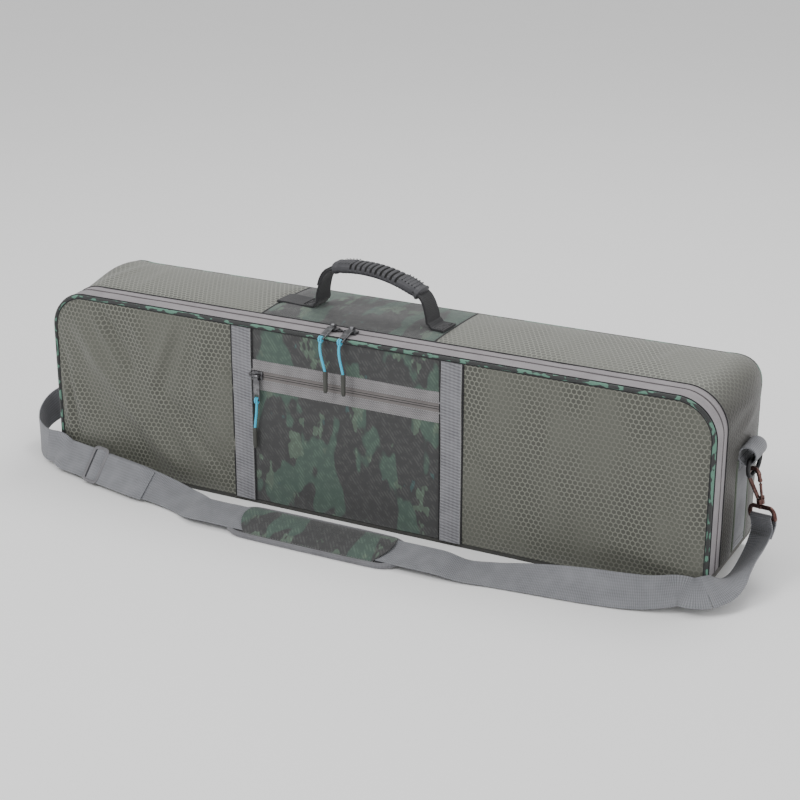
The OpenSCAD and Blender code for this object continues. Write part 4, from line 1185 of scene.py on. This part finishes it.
def make_strap():
    wrap = [(3.3, -48.0), (2.35, -45.7), (0.0, -44.7), (-2.35, -45.7), (-3.3, -48.0), (-2.6, -51.0)]
    around = [loop_point(v, w) for v, w in wrap]
    back = [vec(442.2, 6.4, 46.0), vec(443.6, 11.1, 54.0)]
    right_end = [(p, -BAR) for p in back + around] + [
        (vec(442, 8.6, 54), -BAR), (vec(441, 2, 44), vec(-0.72, 0.64, -0.28)),
        (vec(439.5, -8, 36), vec(-0.66, 0.68, -0.32)), (vec(438, -22, 30), vec(-0.58, 0.74, -0.34)),
        (vec(436.5, -38, 26), vec(-0.5, 0.8, -0.32)), (vec(434.5, -55, 24), vec(-0.45, 0.86, -0.2)),
        (vec(431.5, -71, 23), vec(-0.42, 0.9, 0.1)), (vec(426.5, -85, 22), vec(-0.36, 0.84, 0.4)),
        (vec(418, -95.5, 20.5), vec(-0.24, 0.8, 0.55))]
    left_end = [(flip(p), flip(BAR)) for p in back[1:] + around] + [
        (vec(-443, 10.5, 57), vec(-0.85, -0.3, 0.4)), (vec(-448.5, 9, 53), vec(-0.6, -0.2, 0.75)),
        (vec(-458, 2, 49), vec(-0.25, -0.05, 0.95)), (vec(-466, -12, 44), vec(-0.1, 0, 1)),
        (vec(-470, -28, 37), vec(0, 0, 1)), (vec(-467, -46, 29), vec(0, 0, 1)), (vec(-457, -62, 25), vec(0, 0, 1)),
        (vec(-443, -76, 23.5), vec(0, 0.1, 1)), (vec(-425, -88, 23.5), vec(0, 0.25, 0.97))]
    front = [
        left_end[-1], on_floor(-405, -101, 7.5, 26), on_floor(-390, on_line(-390), 5.4, STRAP_LEAN),
        on_floor(-338, on_line(-338), 5.2, STRAP_LEAN), on_floor(-270, on_line(-270), 5.0, STRAP_LEAN),
        on_floor(-250, -137, 4.0, 48), on_floor(-222, -140.5, 2.8, 60), on_floor(-195, -148, 2.6, 67),
        on_floor(-165, -162, 7.4, 74), on_floor(135, -162, 7.4, 74), on_floor(165, -159, 3.6, 78),
        on_floor(195, -153, 2.0, 73), on_floor(235, -148.5, 1.6, 60), on_floor(270, -145, 1.4, 48),
        on_floor(305, -141, 1.4, 39), on_floor(337, -136, 2.2, 42), on_floor(360, -130, 4, 50),
        on_floor(378, -124, 7.5, 56), on_floor(390, -119, 10, 60),
        (vec(405, -102, 19.5), vec(-0.1, 0.85, 0.52)), right_end[-1]]
    tail = [on_floor(-330, on_line(-330) - 2.0, 5.2, STRAP_LEAN), on_floor(-318, on_line(-318) - 2.9, 5.0, STRAP_LEAN),
            on_floor(-270, on_line(-270) - 2.9, 4.8, STRAP_LEAN), on_floor(-252, -139.8, 4.0, 47)]
    ribbon("strap_cloth_right", right_end, nodes=("strap_end_right",), after=[front[-2]])
    ribbon("strap_cloth_left", left_end, nodes=("strap_end_left",), after=[front[1]])
    ribbon("strap_cloth_front", front, nodes=("strap_front",), flatten=True, before=[left_end[-2]],
           after=[right_end[-2]])
    ribbon("strap_cloth_tail", tail, nodes=("strap_tail",), flatten=True)
    for tag, side in (("right", lambda p: p), ("left", flip)):
        for k, t in enumerate((0.12, 0.40, 0.52)):
            middle = vec(442, 8.6, 54) * (1 - t) + vec(441, 2, 44) * t - 0.95 * LOOP_OUT
            if tag == "left":
                middle = loop_point(-4.0, -50.2 - 2.0 * k)
            stitches(f"strap_stitch_{tag}_{k}", [side(middle + BAR * a) for a in np.linspace(-16.5, 16.5, 24)], "strap")


def pad_half(x):
    """Half width of the pad at x: straight sides and pointed round ends."""
    t = np.clip((np.abs(x) - (PAD_HALF - 30)) / 30, 0, 1)
    return 24.5 * np.sqrt(np.maximum(1 - t ** 1.8, 0.0004))


def make_pad():
    middle = 19.0
    tip = 12 * (1 - np.cos(np.linspace(0, math.pi / 2, 8)))
    x = np.concatenate([tip[:-1] - PAD_HALF, np.linspace(12 - PAD_HALF, PAD_HALF - 12, 70), (PAD_HALF - tip)[::-1][1:]])
    v = np.sin(np.linspace(-math.pi / 2, math.pi / 2, 18))
    gx = np.repeat(x[:, None], len(v), 1)
    gz = middle + pad_half(gx) * v[None, :]
    rim = np.minimum((1 - np.abs(v))[None, :] * pad_half(gx), PAD_HALF + 0.2 - np.abs(gx))
    puff = 1 - np.exp(-np.maximum(rim, 0) / 4.0)
    soft = 0.35 * ripples(gx, gz, 40, 51)
    front = pad_point(gx, 3.4 - 2.6 * puff + soft * puff * 0.5, gz)
    back = pad_point(gx, 3.8 + 2.6 * puff + soft * puff * 0.4, gz)
    pad = shell("pad_cushion", front, back, np.stack([gx, gz], -1), "pad_cloth", body="pad", slot="pad_foam",
                nodes=("pad_base",))
    flatten_with_lid(pad)
    # binding round the rim, thicker along the lower edge
    turn = np.linspace(0, 2 * math.pi, 200)[:-1]
    bx = PAD_HALF * np.sign(np.cos(turn)) * np.abs(np.cos(turn)) ** 0.42
    bz = np.sign(np.sin(turn)) * pad_half(bx * 0.999) * np.minimum(np.abs(np.sin(turn)) ** 0.25, 1.0)
    path = pad_point(bx * 0.995, 3.5, middle + bz * 0.99)
    low = 1 + 0.45 * smoothstep(-bz, 8, 24)
    edge = sweep("pad_binding", path, pad_point(0, 1, 0) - pad_point(0, 0, 0), circle(2.5, 12, 0.72), "binding",
                 closed=True,
                 body="pad", slot="pad_foam", scale=low)
    flatten_with_lid(edge)
    # printed sleeve over the strap
    u = np.linspace(-1, 1, 60)
    w = np.linspace(-1, 1, 20)
    gu, gw = np.meshgrid(u, w, indexing="ij")
    reach = 94 - 8 * gw ** 2 + 5 * gw
    sx = gu * reach
    sz = middle + gw * 22.4
    crown = 1 - np.abs(gw) ** 2.6
    wave = 0.45 * ripples(sx, sz, 34, 61) * crown
    outer = pad_point(sx, 0.7 - 4.3 * crown - wave, sz)
    inner = pad_point(sx, 1.4 - 4.2 * crown - wave, sz)
    sleeve = shell("pad_print", outer, inner, np.stack([sx, sz], -1), "camo", body="pad", slot="camo",
                   nodes=("pad_sleeve",))
    flatten_with_lid(sleeve)
    for tag, sign in (("top", 1), ("low", -1)):
        line = np.linspace(-89, 89, 60)
        pts = pad_point(line, 0.4, middle + sign * 21.6)
        piece = stitches("pad_stitch_" + tag, pts, "pad")
        flatten_with_lid(piece)
    turn, lean = math.atan(LINE_SLOPE), math.radians(STRAP_LEAN)
    across = vec(-math.sin(turn) * math.sin(lean), math.cos(turn) * math.sin(lean), math.cos(lean))
    along = vec(math.cos(turn), math.sin(turn), 0)
    front_way = np.cross(along, across)
    foot = vec(-338, on_line(-338), 5.4) - 3.2 * across

    def adjuster_point(x, y, z):
        return foot + x * along - y * front_way + z * across

    high, bend = 44.4, 5.0
    corners = ((1, bend + 1.6, -90), (1, high - 1.6 - bend, 0), (-1, high - 1.6 - bend, 90), (-1, bend + 1.6, 180))
    frame = [adjuster_point(side * (11.2 - bend) + bend * math.cos(a), -2.9, z + bend * math.sin(a))
             for side, z, start in corners for a in np.radians(np.linspace(start, start + 90, 8))]
    pieces = [sweep("adjuster_frame", np.array(frame), -front_way, flat_section(3.3, 4.0, 8, 1.3), "adjuster",
                    closed=True, flat=True,
                    body="adjuster", slot="grey_plastic", nodes=("strap_adjuster",))]
    for tag, y, z0, z1 in (("bar", 2.5, 1.5, high - 1.5), ("stub_low", 0, 1.6, 1.6),
                           ("stub_high", 0, high - 1.6, high - 1.6)):
        ends = [adjuster_point(0, 2.5 if z0 == z1 else y, z0), adjuster_point(0, -2.4 if z0 == z1 else y, z1)]
        path = np.linspace(ends[0], ends[1], 6)
        pieces.append(sweep("adjuster_" + tag, path, along, flat_section(3.8, 2.4, 6, 0.6), "adjuster", flat=True,
                            body="adjuster", slot="grey_plastic"))
    for piece in pieces:
        flatten_with_lid(piece)
    u = np.linspace(-8.8, 8.8, 12)
    rows = [(adjuster_point(x, -0.9 - 2.4 * math.cos(x / 8.8 * math.pi / 2) ** 0.8, high / 2), across) for x in u[1:-1]]
    ribbon("adjuster_webbing", rows, thick=1.2, ride="adjuster", step=1.6, flatten=True)


# ---------------------------------------------------------------- sliders, pulls and cords
ROUTES = {
    "left": [(-39, -85, 216), (-38.7, -86.6, 212), (-38, -87.6, 207), (-37, -88, 202),
             (-35.8, -88, 197), (-34.4, -88, 192), (-33, -88, 187), (-31.6, -88, 182)],
    "right": [(-15, -85, 216), (-14.8, -86.6, 212), (-14.3, -87.6, 207), (-13.5, -88, 202),
              (-12.5, -88, 197), (-11.3, -88, 192), (-10.1, -88, 187), (-9, -88, 182)],
    "pocket": [(-125, -82.3, 129.5), (-125.2, -82.4, 126), (-125.6, -82.4, 121), (-126.1, -82.3, 116),
               (-126.8, -82.2, 111), (-127.5, -82.1, 106), (-128.2, -82, 101), (-128.8, -82, 96)],
}


def make_cords():
    for tag, route in ROUTES.items():
        route = np.array(route, float)
        s = lengths(route)
        path = hermite(s, route, np.linspace(0, s[-1], 24))
        cord = sweep("cord_line_" + tag, path, (1, 0, 0), circle(1.45, 12), "cord", body="cord_end_" + tag,
                     slot="cord_blue", nodes=("cord_" + tag,))
        end = route[-1]
        h = np.array([1.5, 0.2, -1.5, -4, -8, -12, -16, -20, -22.6, -23.7, -24.0])
        r = np.array([1.9, 2.6, 2.85, 2.8, 2.65, 2.55, 2.5, 2.45, 2.2, 1.5, 0.5])
        tip_path = np.stack([np.full(len(h), end[0]), np.full(len(h), end[1]), end[2] + h], 1)
        tip = sweep("tip_shape_" + tag, tip_path, (1, 0, 0), circle(1.0, 16), "tip", body="cord_end_" + tag,
                    slot="tip_rubber", nodes=("cord_tip_" + tag,), scale=r)
        hang = route[0]
        centre = vec(hang[0], hang[1] + 0.8, hang[2] + 2.6) if tag != "pocket" else vec(hang[0], hang[1], hang[2] + 1.6)
        for k, off in enumerate((-1.25, 1.25)):
            angle = np.linspace(0, 2 * math.pi, 25)[:-1]
            ring = np.stack([np.full(24, centre[0] + off), centre[1] + 2.1 * np.cos(angle),
                             centre[2] + 3.0 * np.sin(angle)], 1)
            sweep(f"cord_loop_{tag}_{k}", ring, (1, 0, 0), circle(1.05, 10), "cord", closed=True,
                               body="cord_end_" + tag, slot="cord_blue")


def make_sliders():
    for tag in ("left", "right", "pocket"):
        rounded_copy("slider_" + tag, "gunmetal", "zip_slider_" + tag, 0.55, 3)
        rounded_copy("pull_" + tag, "pull", "tab_" + tag, 0.3, 3)


M["pad_cloth"] = plain_cloth("pad_cloth_laid", (0.03, 0.03, 0.032), (0.06, 0.06, 0.064), 1.2)
M["base_laid"] = plain_cloth("edging_cloth", (0.035, 0.05, 0.03), (0.075, 0.10, 0.065), 1.4)

make_camera()
make_cords()
make_studio()
make_case_fabric()
make_panels()
make_inside()
make_handle()
make_ends()
make_strap()
make_pad()
make_sliders()
